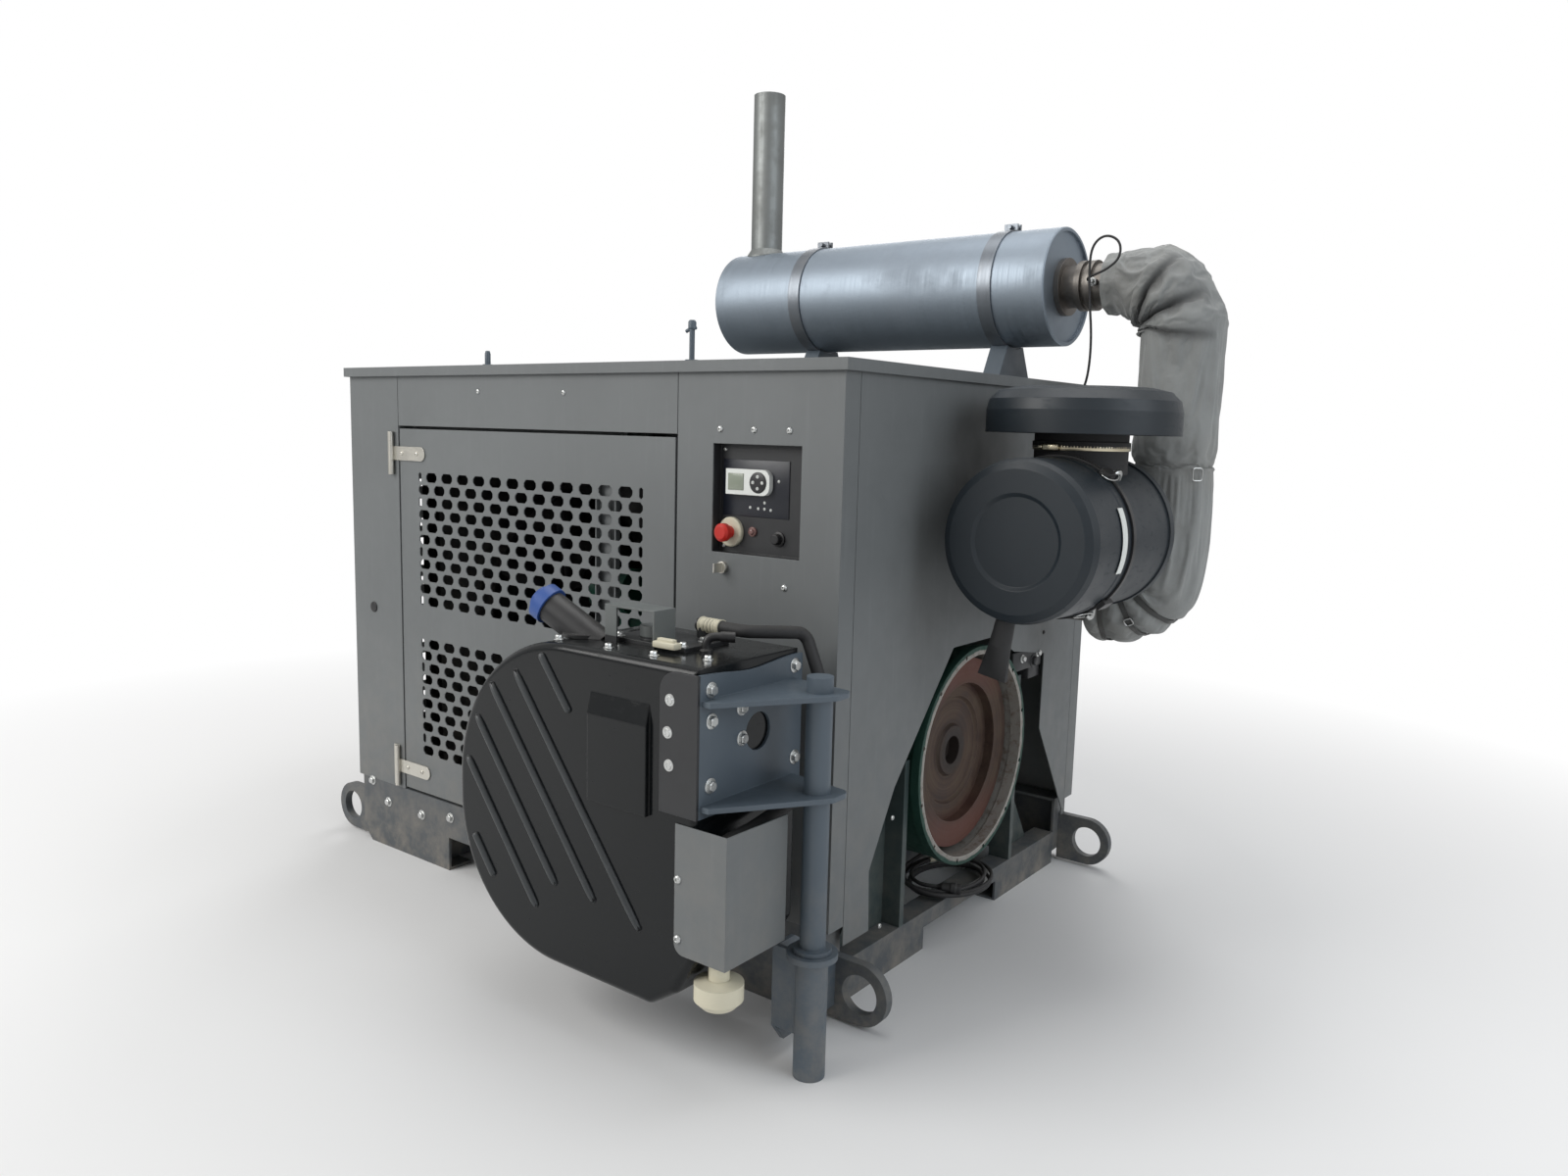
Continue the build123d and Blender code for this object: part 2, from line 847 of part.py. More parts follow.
def flywheel():
    """Flywheel with a stepped recess for the coupling and a pilot bore."""
    floor = flywheel_face - coupling_recess_depth
    profile = (
        (housing_back, 0), (housing_back, crank_boss_radius), (flywheel_back, crank_boss_radius),
        (flywheel_back, flywheel_radius), (flywheel_face, flywheel_radius),
        (flywheel_face, coupling_recess_radius), (floor, coupling_recess_radius),
        (floor, recess_dish_outer), (floor - recess_dish_depth, recess_dish_outer - 6),
        (floor - recess_dish_depth, recess_dish_inner + 6), (floor, recess_dish_inner),
        (floor, pilot_radius), (floor - pilot_length, pilot_radius), (floor - pilot_length, 0),
    )
    return turned(profile, (0, shaft_y, shaft_z), (1, 0, 0))


# Engine

def engine_block():
    """Crankcase with shoulders, cylinder head, valve cover and sump."""
    half = block_width / 2
    case = make_face(
        Polyline(
            (shaft_y - half, block_bottom), (shaft_y - half, shaft_z + 60),
            (shaft_y - half + block_shoulder, shaft_z + 130),
            (shaft_y - half + block_shoulder, block_top),
            (shaft_y + half - block_shoulder, block_top),
            (shaft_y + half - block_shoulder, shaft_z + 130),
            (shaft_y + half, shaft_z + 60), (shaft_y + half, block_bottom), close=True,
        )
    )
    engine = Pos(engine_front, 0, 0) * extrude(Plane.YZ * case, engine_length)
    x0 = engine_front + 40
    x1 = housing_back - 60
    wide = head_width / 2
    engine += block(x0, x1, shaft_y - wide, shaft_y + wide, block_top, block_top + head_height)
    narrow = valve_cover_width / 2
    top = block_top + head_height
    cover = block(
        x0 + 30, x1 - 30, shaft_y - narrow, shaft_y + narrow, top, top + valve_cover_height
    )
    engine += fillet(cover.edges().group_by(Axis.Z)[-1], valve_cover_fillet)
    low = sump_width / 2
    sump = block(
        x0, x1, shaft_y - low, shaft_y + low, block_bottom - sump_depth, block_bottom
    )
    engine += fillet(sump.edges().group_by(Axis.Z)[0], sump_fillet)
    for k in range(cylinder_count + 1):
        x = x0 + k * (x1 - x0) / cylinder_count
        for side in (-1, 1):
            web = make_face(
                Polyline(
                    (shaft_y, block_bottom), (shaft_y + side * half, block_bottom),
                    (shaft_y + side * half, shaft_z + 60),
                    (shaft_y + side * (half - block_shoulder), block_top),
                    (shaft_y, block_top), close=True,
                )
            )
            web = extrude(Plane.YZ * web, crankcase_rib, dir=(1, 0, 0))
            engine += Pos(x - crankcase_rib / 2, 0, 0) * web
    return engine


def exhaust_manifold():
    """Log manifold with a stub to each cylinder and the turbocharger on it."""
    y = shaft_y + head_width / 2 + manifold_radius + 20
    z = block_top + manifold_drop
    x0 = engine_front + 110
    x1 = housing_back - 130
    manifold = bar(manifold_radius, (x0, y, z), (x1, y, z))
    pitch = (x1 - x0 - 2 * port_radius) / (cylinder_count - 1)
    for k in range(cylinder_count):
        x = x0 + port_radius + k * pitch
        manifold += bar(port_radius, (x, shaft_y + head_width / 2, z), (x, y, z))
    turbo_x = housing_back - turbo_from_housing
    manifold += bar(port_radius, (turbo_x, y, z), (turbo_x, shaft_y + turbo_reach, wall_pipe_z))
    manifold += bar(
        turbo_radius, (turbo_x - turbo_width / 2, shaft_y + turbo_reach, wall_pipe_z),
        (turbo_x + turbo_width / 2, shaft_y + turbo_reach, wall_pipe_z),
    )
    return manifold


def engine_accessories():
    """Manifold with turbocharger, two filters, starter and alternator."""
    side = shaft_y - block_width / 2
    pieces = [exhaust_manifold()]
    for k in (1, 2):
        x = engine_front + k * 190
        y = side - filter_standoff - filter_radius
        top = shaft_z + 40
        head = block(x - 45, x + 45, y - 30, side, top, top + 40)
        pieces.append(head + bar(filter_radius, (x, y, top - filter_length), (x, y, top)))
    y = side - starter_radius - 8
    z = shaft_z - starter_drop
    starter = bar(starter_radius, (housing_back - starter_length, y, z), (housing_back, y, z))
    starter += block(housing_back - 150, housing_back - 30, y, side, z - 20, z + 20)
    pieces.append(starter)
    shoulder_y = shaft_y - block_width / 2 + block_shoulder
    y = shoulder_y - alternator_radius - 4
    z = block_top + 20
    x0 = engine_front + 20
    alternator = bar(alternator_radius, (x0, y, z), (x0 + alternator_length, y, z))
    alternator += block(x0 + 30, x0 + 90, y, shoulder_y, block_top - 40, block_top - 8)
    pieces.append(alternator)
    return Compound(pieces)


def cooling_fan():
    """Fan on the front of the engine, inside the shroud's ring."""
    x1 = fan_x + fan_width / 2
    fan = bar(fan_hub_radius, (x1 - fan_width, shaft_y, fan_z), (x1, shaft_y, fan_z))
    fan += bar(fan_shaft_radius, (x1, shaft_y, fan_z), (engine_front, shaft_y, fan_z))
    reach = fan_radius - fan_hub_radius + 10
    mid = fan_hub_radius - 10 + reach / 2
    for k in range(fan_blades):
        blade = Pos(0, mid, 0) * Rot(0, fan_pitch_angle, 0) * Box(3, reach, 90)
        fan += Pos(fan_x, shaft_y, fan_z) * Rot(360 / fan_blades * k, 0, 0) * blade
    return fan


def radiator_core():
    """Radiator on its foot, with the shroud that narrows to the fan."""
    x0 = -half_length + radiator_setback
    x1 = x0 + radiator_depth
    half = radiator_width / 2
    z0 = skid_height + radiator_foot
    z1 = z0 + radiator_height + 90
    core = block(x0, x1, -half, half, z0, z1)
    core += block(x0 - 20, x1 + 20, -half_width + 30, half_width - 30, skid_height, z0)
    ring = fan_radius + fan_tip_clearance
    x2 = x1 + shroud_depth
    throat = x2 - fan_width
    mid = (z0 + z1) / 2
    wide = Plane.YZ.offset(x1) * (Pos(0, mid) * Rectangle(2 * half, z1 - z0))
    round_end = Plane.YZ.offset(throat) * (Pos(shaft_y, fan_z) * Circle(ring + shroud_wall))
    shroud = loft([wide, round_end])
    wide_in = Plane.YZ.offset(x1) * (
        Pos(0, mid) * Rectangle(2 * (half - shroud_wall), z1 - z0 - 2 * shroud_wall)
    )
    round_in = Plane.YZ.offset(throat) * (Pos(shaft_y, fan_z) * Circle(ring))
    shroud -= loft([wide_in, round_in])
    shroud += tube(ring + shroud_wall, ring, (throat, shaft_y, fan_z), (x2, shaft_y, fan_z))
    return core + shroud


def engine_supports():
    """Gusseted uprights beside the housing and pedestals under the block."""
    x1 = half_length - rail_inset
    x0 = x1 - beam_width
    supports = []
    for side, rise in ((-1, near_support_height), (1, far_support_height)):
        face = shaft_y + side * housing_flange_radius
        outer = face + side * support_thickness
        y0, y1 = sorted((face, outer))
        plate = block(x0, x1, y0, y1, beam_top, beam_top + rise)
        gusset = make_face(
            Polyline(
                (outer, beam_top), (outer + side * gusset_foot, beam_top),
                (outer, beam_top + gusset_rise), close=True,
            )
        )
        gusset = extrude(Plane.YZ * gusset, support_gusset, dir=(1, 0, 0))
        supports.append(plate + Pos(x0, 0, 0) * gusset)
    half = cross_member_width / 2
    for side in (-1, 1):
        outer = shaft_y + side * (block_width / 2 + 20)
        y0, y1 = sorted((outer, outer - side * pedestal_width))
        pedestal = block(-half, half, y0, y1, pocket_height, block_bottom)
        supports.append(pedestal)
    return Compound(supports)


# Exhaust

def muffler_body():
    """Closed drum with rolled rims and recessed ends."""
    r = muffler_radius
    rim = muffler_rim
    deep = muffler_end_recess
    profile = (
        (muffler_left + deep, 0), (muffler_left + deep, r - rim), (muffler_left, r - rim),
        (muffler_left, r - 3), (muffler_left + 3, r), (muffler_right - 3, r),
        (muffler_right, r - 3), (muffler_right, r - rim), (muffler_right - deep, r - rim),
        (muffler_right - deep, 0),
    )
    return turned(profile, (0, muffler_y, muffler_z), (1, 0, 0))


def muffler_bands():
    """Clamping straps round the drum, each drawn together by two lugs."""
    bands = []
    r = muffler_radius
    for x in band_positions:
        x0 = x - band_width / 2
        x1 = x + band_width / 2
        band = tube(r + band_thickness, r, (x0, muffler_y, muffler_z), (x1, muffler_y, muffler_z))
        for side in (-1, 1):
            y0, y1 = sorted((muffler_y + side * 6, muffler_y + side * 12))
            band += block(x0, x1, y0, y1, muffler_z + r - 1, muffler_z + r + band_lug)
        band += bar(
            6.0, (x, muffler_y - 24, muffler_z + r + band_lug - 9),
            (x, muffler_y + 24, muffler_z + r + band_lug - 9),
        )
        band -= bar(r, (x0, muffler_y, muffler_z), (x1, muffler_y, muffler_z))
        bands.append(band)
    return Compound(bands)


def muffler_saddles():
    """Feet on the roof, hollowed to the drum's bands."""
    saddles = []
    half = saddle_half_width
    cup = muffler_radius + band_thickness
    top = muffler_z - sqrt(cup ** 2 - (half / 2) ** 2)
    for x in band_positions:
        outline = make_face(
            Polyline(
                (muffler_y - half - saddle_cup, roof_height),
                (muffler_y + half + saddle_cup, roof_height),
                (muffler_y + half + saddle_cup, roof_height + saddle_foot),
                (muffler_y + half, roof_height + saddle_foot), (muffler_y + half / 2, top),
                (muffler_y - half / 2, top), (muffler_y - half, roof_height + saddle_foot),
                (muffler_y - half - saddle_cup, roof_height + saddle_foot), close=True,
            )
        )
        outline -= Pos(muffler_y, muffler_z) * Circle(cup)
        saddle = extrude(Plane.YZ * outline, saddle_length)
        saddles.append(Pos(x - saddle_length / 2, 0, 0) * saddle)
    return Compound(saddles)


def exhaust_stack():
    """Outlet tube on a flared collar, seated on the drum."""
    seat = muffler_z + sqrt(muffler_radius ** 2 - stack_collar_radius ** 2)
    flare = stack_collar_radius
    profile = (
        (seat - saddle_cup, stack_radius - stack_wall), (seat - saddle_cup, flare),
        (seat + 6, flare), (seat + stack_collar_height, stack_radius),
        (stack_top, stack_radius), (stack_top, stack_radius - stack_wall),
    )
    stack = turned(profile, (stack_x, muffler_y, 0), (0, 0, 1))
    drum = bar(
        muffler_radius, (muffler_left, muffler_y, muffler_z), (muffler_right, muffler_y, muffler_z)
    )
    return stack - drum


def exhaust_pipe():
    """Flanged and clamped inlet at the drum, and the pipe through the wall."""
    start = muffler_right - muffler_end_recess
    r = exhaust_pipe_radius
    profile = [(start, 0), (start, exhaust_flange_radius)]
    profile += [(start + exhaust_flange, exhaust_flange_radius), (start + exhaust_flange, r)]
    x = muffler_right + exhaust_flange + pipe_clamp_offset
    for _ in range(2):
        high = r + pipe_clamp_height
        profile += [(x, r), (x, high), (x + pipe_clamp_width, high), (x + pipe_clamp_width, r)]
        x += pipe_clamp_width + pipe_clamp_gap
    profile += [(jacket_start_x, r), (jacket_start_x, 0)]
    inlet = turned(profile, (0, muffler_y, muffler_z), (1, 0, 0))
    boss_x = jacket_start_x - sensor_boss_setback
    inlet += bar(
        sensor_boss_radius, (boss_x, muffler_y - r + 6, muffler_z),
        (boss_x, muffler_y - r - sensor_boss_length, muffler_z),
    )
    turbo_x = housing_back - turbo_from_housing + turbo_width / 2
    turbo_y = shaft_y + turbo_reach
    path = FilletPolyline(
        (turbo_x, turbo_y, wall_pipe_z), (turbo_x + 60, turbo_y, wall_pipe_z),
        (half_length - 60, muffler_y, wall_pipe_z), (jacket_end_x, muffler_y, wall_pipe_z),
        radius=r,
    )
    outlet = sweep(Plane(origin=path @ 0, z_dir=path % 0) * Circle(r), path=path)
    return Compound([inlet, outlet])


def insulated_elbow():
    """Soft jacket over the pipe from the wall up to the drum."""
    neck_end = jacket_start_x + jacket_neck_length
    path = FilletPolyline(
        (neck_end, muffler_y, muffler_z), (jacket_drop_x, muffler_y, muffler_z),
        (jacket_drop_x, muffler_y, wall_pipe_z), (jacket_end_x, muffler_y, wall_pipe_z),
        radius=jacket_turn_radius,
    )
    jacket = sweep(Plane(origin=path @ 0, z_dir=path % 0) * Circle(jacket_radius), path=path)
    neck = (
        (jacket_start_x, 0), (jacket_start_x, jacket_neck_radius), (neck_end, jacket_radius),
        (neck_end, 0),
    )
    return jacket + turned(neck, (0, muffler_y, muffler_z), (1, 0, 0))


# Air cleaner

def air_cleaner_cover():
    """Front cover with a rolled shoulder and a shallow disc in its face."""
    r = cleaner_radius
    front = cleaner_front
    profile = (
        (front + 6, 0), (front + 6, r - 82), (front, r - 74), (front, r - 24),
        (front + 8, r - 8), (front + cover_bead, r - 2), (cleaner_split - 40, r - 2),
        (cleaner_split - 34, r), (cleaner_split, r), (cleaner_split, 0),
    )
    return turned(profile, (cleaner_x, 0, cleaner_z), (0, 1, 0))


def air_cleaner_body():
    """Rear canister with a band, and its outlet through the end wall."""
    r = canister_radius
    back = cleaner_back
    profile = (
        (cleaner_split, 0), (cleaner_split, r), (back - 44, r), (back - 44, r + 4),
        (back - 18, r + 4), (back - 18, r - 6), (back, r - 30), (back, 0),
    )
    body = turned(profile, (cleaner_x, 0, cleaner_z), (0, 1, 0))
    outlet = (cleaner_x, cleaner_outlet_y, cleaner_z)
    return body + bar(
        cleaner_outlet_radius, outlet, (half_length - 40, cleaner_outlet_y, cleaner_z)
    )


def air_cleaner_clamp():
    """Ring at the joint of cover and canister, with over-centre latches."""
    y0 = cleaner_split - clamp_width / 2
    y1 = cleaner_split + clamp_width / 2
    r = cleaner_radius
    ring = tube(r + clamp_height, r, (cleaner_x, y0, cleaner_z), (cleaner_x, y1, cleaner_z))
    for angle in latch_angles:
        latch = Pos(r + latch_height / 2 + 0.5, cleaner_split, 0) * Box(
            latch_height, latch_length, latch_width
        )
        ring += Pos(cleaner_x, 0, cleaner_z) * Rot(0, -angle, 0) * latch
    return ring - bar(
        r, (cleaner_x, cleaner_split - latch_length, cleaner_z),
        (cleaner_x, cleaner_split + latch_length, cleaner_z),
    )


def air_cleaner_mount():
    """Two cradles from the end wall to the canister and a strap round one."""
    cradles = []
    r = canister_radius
    half = cradle_width / 2
    for y in (front_cradle_y, rear_cradle_y):
        cradle = block(
            half_length, half_length + cradle_depth + 100, y - half, y + half,
            cleaner_z - cradle_half_height, cleaner_z + cradle_half_height,
        )
        cradle -= bar(r, (cleaner_x, y - half, cleaner_z), (cleaner_x, y + half, cleaner_z))
        cradle -= bar(
            cleaner_outlet_radius, (half_length, cleaner_outlet_y, cleaner_z),
            (cleaner_x, cleaner_outlet_y, cleaner_z),
        )
        cradles.append(cradle)
    return Compound(cradles)


def intake_neck():
    """Upright inlet neck on the canister with its hose clamp."""
    ceiling = rain_cap_top - rain_cap_wall
    neck = bar(neck_radius, (cleaner_x, neck_y, cleaner_z), (cleaner_x, neck_y, ceiling))
    neck += bar(
        neck_radius + 4, (cleaner_x, neck_y, neck_clamp_z),
        (cleaner_x, neck_y, neck_clamp_z + neck_clamp_width),
    )
    return neck - bar(
        canister_radius, (cleaner_x, cleaner_front, cleaner_z),
        (cleaner_x, cleaner_back, cleaner_z),
    )


def rain_cap():
    """Hollow mushroom hood over the intake."""
    r = rain_cap_radius
    wall = rain_cap_wall
    low = rain_cap_bottom
    top = rain_cap_top
    profile = (
        (low, r - wall), (low, r), (low + 50, r), (top - 28, r - 6), (top - 8, r - 26),
        (top, r - 60), (top, 0), (top - wall, 0), (top - wall, r - 60 - wall),
        (top - 8 - wall, r - 26 - wall), (top - 28 - wall, r - 6 - wall),
        (low + 50, r - wall),
    )
    return turned(profile, (cleaner_x, neck_y, 0), (0, 0, 1))


def dust_valve():
    """Rubber duck-bill under the cover."""
    root = -cleaner_radius - valve_root
    valve = loft([Pos(0, 0, -cleaner_radius + 20) * Circle(20), Pos(0, 0, root) * Circle(24)])
    valve += loft([
        Pos(0, 0, root) * Circle(24), Pos(0, 0, -cleaner_radius - valve_length) * Rectangle(66, 14)
    ])
    valve = Pos(cleaner_x, 0, cleaner_z) * Rot(0, valve_tilt, 0) * valve
    y = cleaner_front + valve_from_front
    return Pos(0, y, 0) * valve - bar(
        cleaner_radius - 2, (cleaner_x, y - 40, cleaner_z), (cleaner_x, y + 40, cleaner_z)
    )


# Swing pole, bracket and tank

def pole_socket():
    """Upright tube with a collar, on a gusset from the door side rail."""
    bore = pole_radius + pole_play
    top = socket_top
    socket = bar(socket_radius, (pole_x, pole_y, 0), (pole_x, pole_y, top))
    socket += bar(
        socket_collar_radius, (pole_x, pole_y, top - socket_collar), (pole_x, pole_y, top)
    )
    lug_face = -half_width + lug_inset - lug_thickness / 2
    front = pole_y - gusset_plate / 2
    high = top - socket_collar
    low = gusset_low
    side = make_face(
        Polyline(
            (front, low + gusset_corner), (front, high), (front + 60, high),
            (lug_face, lug_height + lug_radius), (lug_face, low), (front + 30, low), close=True,
        )
    )
    x = half_length - 2
    socket += Pos(x, 0, 0) * extrude(Plane.YZ * side, gusset_plate)
    socket += block(x, pole_x, front, front + gusset_plate, low + gusset_corner, high)
    return socket - bar(bore, (pole_x, pole_y, 0), (pole_x, pole_y, top))


def swing_pole():
    """Pole that turns in the socket on its thrust collar."""
    top = upper_ear_z + pole_above_ear
    pole = bar(pole_radius, (pole_x, pole_y, pole_bottom), (pole_x, pole_y, top))
    return pole + bar(
        socket_radius + 6, (pole_x, pole_y, socket_top + seat_gap),
        (pole_x, pole_y, socket_top + thrust_collar),
    )


def bracket_ear(z):
    """Plate from the web round the pole."""
    rim = pole_x + ear_radius
    outline = make_face(
        Polyline(
            (bracket_x, bracket_front + 4), (bracket_x + 20, bracket_front + 4),
            (rim, pole_y - 10), (rim, pole_y + ear_radius),
            (bracket_x, pole_y + ear_radius + 20), close=True,
        )
    )
    outline = fillet(outline.vertices().group_by(Axis.X)[-1], ear_radius / 2)
    plate = Pos(0, 0, z) * extrude(outline, ear_plate)
    return plate - bar(pole_radius, (pole_x, pole_y, z), (pole_x, pole_y, z + ear_plate))


def tank_bracket():
    """Upright web with a waved top edge and two ears that clasp the pole."""
    top = bracket_top
    wave = Spline(
        (bracket_front, top), (bracket_front + 70, top - 4), (bracket_front + 150, top - 10),
        (bracket_back - 75, top - 3), (bracket_back, top),
    )
    sides = Polyline(
        (bracket_back, top), (bracket_back, bracket_bottom), (bracket_front, bracket_bottom),
        (bracket_front, top),
    )
    outline = make_face(wave + sides)
    outline -= Pos(pole_y - bracket_hole_from_pole, bracket_bottom + bracket_hole_rise) * Circle(
        bracket_hole_radius
    )
    web = Pos(bracket_x - bracket_plate, 0, 0) * extrude(
        Plane.YZ * outline, bracket_plate, dir=(1, 0, 0)
    )
    return web + bracket_ear(upper_ear_z) + bracket_ear(lower_ear_z)


def tank_outline():
    """Front outline of the moulded tank."""
    left = tank_left
    right = tank_right
    low = tank_bottom
    outline = make_face(
        Polyline(
            (left, tank_top), (left, low), (right - 114, low), (right - 46, low + 44),
            (right, low + 118), (right, tank_top), close=True,
        )
    )
    corners = outline.vertices()
    upper_left = corners.group_by(Axis.X)[0].sort_by(Axis.Y)[-1]
    outline = fillet(upper_left, tank_shoulder_radius)
    lower_left = outline.vertices().group_by(Axis.Y)[0].sort_by(Axis.X)[0]
    outline = fillet(lower_left, tank_belly_radius)
    heel = [v for v in outline.vertices() if v.X > right - 120 and v.Y < tank_top - 300]
    return fillet(heel, tank_heel_radius)


def tank_rib(start, length):
    """Raised diagonal rib with rounded ends on the tank's front."""
    x, z = start
    middle = Pos(tank_left + x, tank_top - z) * Rot(0, 0, -rib_angle) * Pos(length / 2, 0)
    rib = middle * SlotOverall(length, rib_width)
    root = tank_fillet / 2
    return Pos(0, tank_front + root, 0) * extrude(Plane.XZ * rib, rib_height + root, taper=12)




def fluid_tank():
    """Moulded tank with diagonal ribs and a raised pad on its front."""
    body = Pos(0, tank_back, 0) * extrude(Plane.XZ * tank_outline(), tank_depth)
    front = body.faces().sort_by(Axis.Y)[0]
    body = fillet(front.edges(), tank_fillet)
    for start, length in rib_layout:
        body += tank_rib(start, length)
    x0 = tank_left + pad_left
    z1 = tank_top - pad_drop
    z0 = z1 - pad_height
    y0 = tank_front - pad_raise
    side = make_face(
        Polyline(
            (tank_front + 1, z0), (y0, z0), (y0, z1 - pad_slope), (tank_front, z1),
            (tank_front + 1, z1), close=True,
        )
    )
    return body + Pos(x0, 0, 0) * extrude(Plane.YZ * side, pad_width)


def tank_side_plate():
    """Black strap plate bolted over the tank's right edge."""
    face = Pos(bracket_x - side_plate_width / 2, (bracket_bottom + bracket_top) / 2) * Rectangle(
        side_plate_width, bracket_height
    )
    corner = face.vertices().group_by(Axis.Y)[-1].sort_by(Axis.X)[0]
    face = fillet(corner, side_plate_corner)
    return Pos(0, tank_front, 0) * extrude(Plane.XZ * face, bracket_plate)


def filler_axis():
    """Base and end of the filler neck's centre line."""
    base = Vector(tank_left + 303, tank_front + 95, tank_top)
    tilt = radians(90 - filler_lean)
    lean = Vector(-sin(tilt), -0.18, cos(tilt)).normalized()
    return base, base + lean * filler_length, lean


def filler_neck():
    """Tilted filler neck on a low flange."""
    base, end, lean = filler_axis()
    neck = bar(filler_radius, tuple(base - lean * 40), tuple(end))
    seat = tank_top - 200
    neck -= block(
        tank_left, tank_right, tank_front - 100, tank_back + 100, seat, tank_top
    )
    return neck + bar(
        neck_flange_radius, (base.X - 10, base.Y, tank_top), (base.X - 10, base.Y, tank_top + 8)
    )


def filler_cap():
    """Blue screw cap with a grip bar."""
    _, end, lean = filler_axis()
    cap = bar(cap_radius, tuple(end), tuple(end + lean * (cap_height - 12)))
    return cap + bar(cap_radius - 14, tuple(end), tuple(end + lean * cap_height))


def tank_header():
    """Sender plate with its guard and the hose connector."""
    x0 = tank_left + guard_left - 4
    y0 = tank_front + 100
    base = block(
        x0, x0 + header_length, y0, y0 + header_depth, tank_top, tank_top + header_plate
    )
    gx0 = tank_left + guard_left
    gx1 = gx0 + guard_width
    gy0 = tank_front + 80
    gz1 = tank_top + guard_height
    guard = block(gx0, gx0 + guard_post, gy0, gy0 + guard_plate, tank_top, gz1)
    guard += block(gx1 - guard_plate, gx1, gy0, gy0 + guard_depth, tank_top, gz1)
    guard += block(gx0, gx1, gy0, gy0 + guard_depth, gz1 - guard_plate, gz1)
    head = bar(30.0, (gx0 + 75, y0 + 45, tank_top), (gx0 + 75, y0 + 45, tank_top + 34))
    x, y, z = hose_start()
    elbow = bar(connector_radius, (x - connector_length, y, z), (x, y, z))
    elbow += bar(
        connector_radius, (x - connector_length + 12, y, tank_top),
        (x - connector_length + 12, y, z),
    )
    return base + guard + head + elbow


def hose_start():
    """Where the supply hose leaves its connector."""
    return (tank_left + 558, tank_front + 215, tank_top + 34)


def tank_hose():
    """Supply hose from the connector, behind the bracket, down to the pump."""
    x, y, z = hose_start()
    behind = bracket_back + hose_radius + 8
    drop_x = bracket_x + 26
    pump_x = bracket_x + bowl_from_bracket
    pump_y = bracket_front + bowl_from_front
    pump_top = cover_bottom + sheet + pump_height
    path = FilletPolyline(
        (x, y, z), (x + 60, y, z), (bracket_x - 10, behind, z - 8), (drop_x, behind, z - 90),
        (drop_x, behind, cover_top + 10), (drop_x, pump_y + 75, cover_top - 25),
        (pump_x, pump_y, cover_top - 35), (pump_x, pump_y, pump_top),
        radius=26.0,
    )
    return sweep(Plane(origin=path @ 0, z_dir=path % 0) * Circle(hose_radius), path=path)


def pump_cover():
    """Folded cover under the bracket, open at its top and back."""
    left = bracket_x - cover_left
    right = bracket_x + cover_right
    front = tank_front - sheet
    back = front + cover_depth
    cover = block(left, right, front, tank_front, cover_bottom, cover_top)
    cover += block(right - sheet, right, front, back, cover_bottom, cover_top)
    cover += block(tank_right, right, front, back, cover_bottom, cover_bottom + sheet)
    cover = fillet(
        cover.edges().filter_by(Axis.Y).group_by(Axis.X)[0].group_by(Axis.Z)[0], 22.0
    )
    x = bracket_x + bowl_from_bracket
    y = bracket_front + bowl_from_front
    return cover - bar(bowl_neck_radius, (x, y, cover_bottom), (x, y, cover_bottom + sheet))


def filter_bowl():
    """Pump with its pale filter bowl hanging under the cover."""
    low = cover_bottom - bowl_neck_drop - bowl_height
    seat = cover_bottom - bowl_neck_drop
    floor = cover_bottom + sheet
    profile = (
        (low, 0), (low, bowl_radius - 14), (low + 14, bowl_radius), (seat - 6, bowl_radius),
        (seat, bowl_neck_radius + 4), (seat, bowl_neck_radius), (floor, bowl_neck_radius),
        (floor, pump_radius), (floor + pump_height, pump_radius), (floor + pump_height, 0),
    )
    origin = (bracket_x + bowl_from_bracket, bracket_front + bowl_from_front, 0)
    return turned(profile, origin, (0, 0, 1))


# Loose cables

def sensor_lead():
    """Thin lead: up over the pipe in a loop, then down to the end wall."""
    x = jacket_start_x - sensor_boss_setback
    y = muffler_y - exhaust_pipe_radius - sensor_boss_length
    z = muffler_z
    plane_y = y - 60
    points = (
        (x, y, z), (x, y - 36, z), (x + 26, plane_y, z + 5), (x + 62, plane_y + 2, z + 18),
        (x + 95, plane_y, z + 43), (x + 91, plane_y + 2, z + 84), (x + 53, plane_y, z + 101),
        (x + 20, plane_y + 3, z + 77), (x + 18, plane_y, z + 20), (x + 23, plane_y + 3, z - 58),
        (x + 31, plane_y + 8, z - 140), (x + 27, plane_y + 14, z - 222),
        (x + 12, plane_y + 20, z - 272), (x - 24, plane_y + 28, z - 310),
        (x - 72, plane_y + 33, z - 328), (half_length + 1, plane_y + 35, z - 332),
    )
    return routed(points, lead_radius)


def cable_coil():
    """Outer shape of the harness coil that lies on the end beam."""
    section = Plane.XZ * Pos(coil_radius, 0) * Circle(coil_section_radius)
    reach = coil_straight / 2
    lobe = Pos(0, reach, 0) * revolve(section, Axis.Z, 180)
    coil = lobe + Rot(0, 0, 180) * lobe
    for x in (-coil_radius, coil_radius):
        coil += bar(coil_section_radius, (x, -reach, 0), (x, reach, 0))
    return Pos(coil_x, 0, beam_top + coil_section_radius) * coil


def cable_lead():
    """Harness from the sump's side, round behind the housing, onto the coil."""
    side = shaft_y + sump_width / 2
    top = beam_top + 2 * coil_section_radius + harness_radius
    end_x = coil_x - coil_radius
    z = block_bottom - 60
    points = (
        (end_x - 141, side, z), (end_x - 141, side + 50, z), (end_x - 111, side + 89, z - 14),
        (end_x - 56, side + 101, z - 42), (end_x - 1, side + 78, z - 78),
        (end_x + 21, side + 23, top + 17), (end_x + 9, side - 35, top + 4), (end_x, side - 92, top),
    )
    return routed(points, harness_radius)


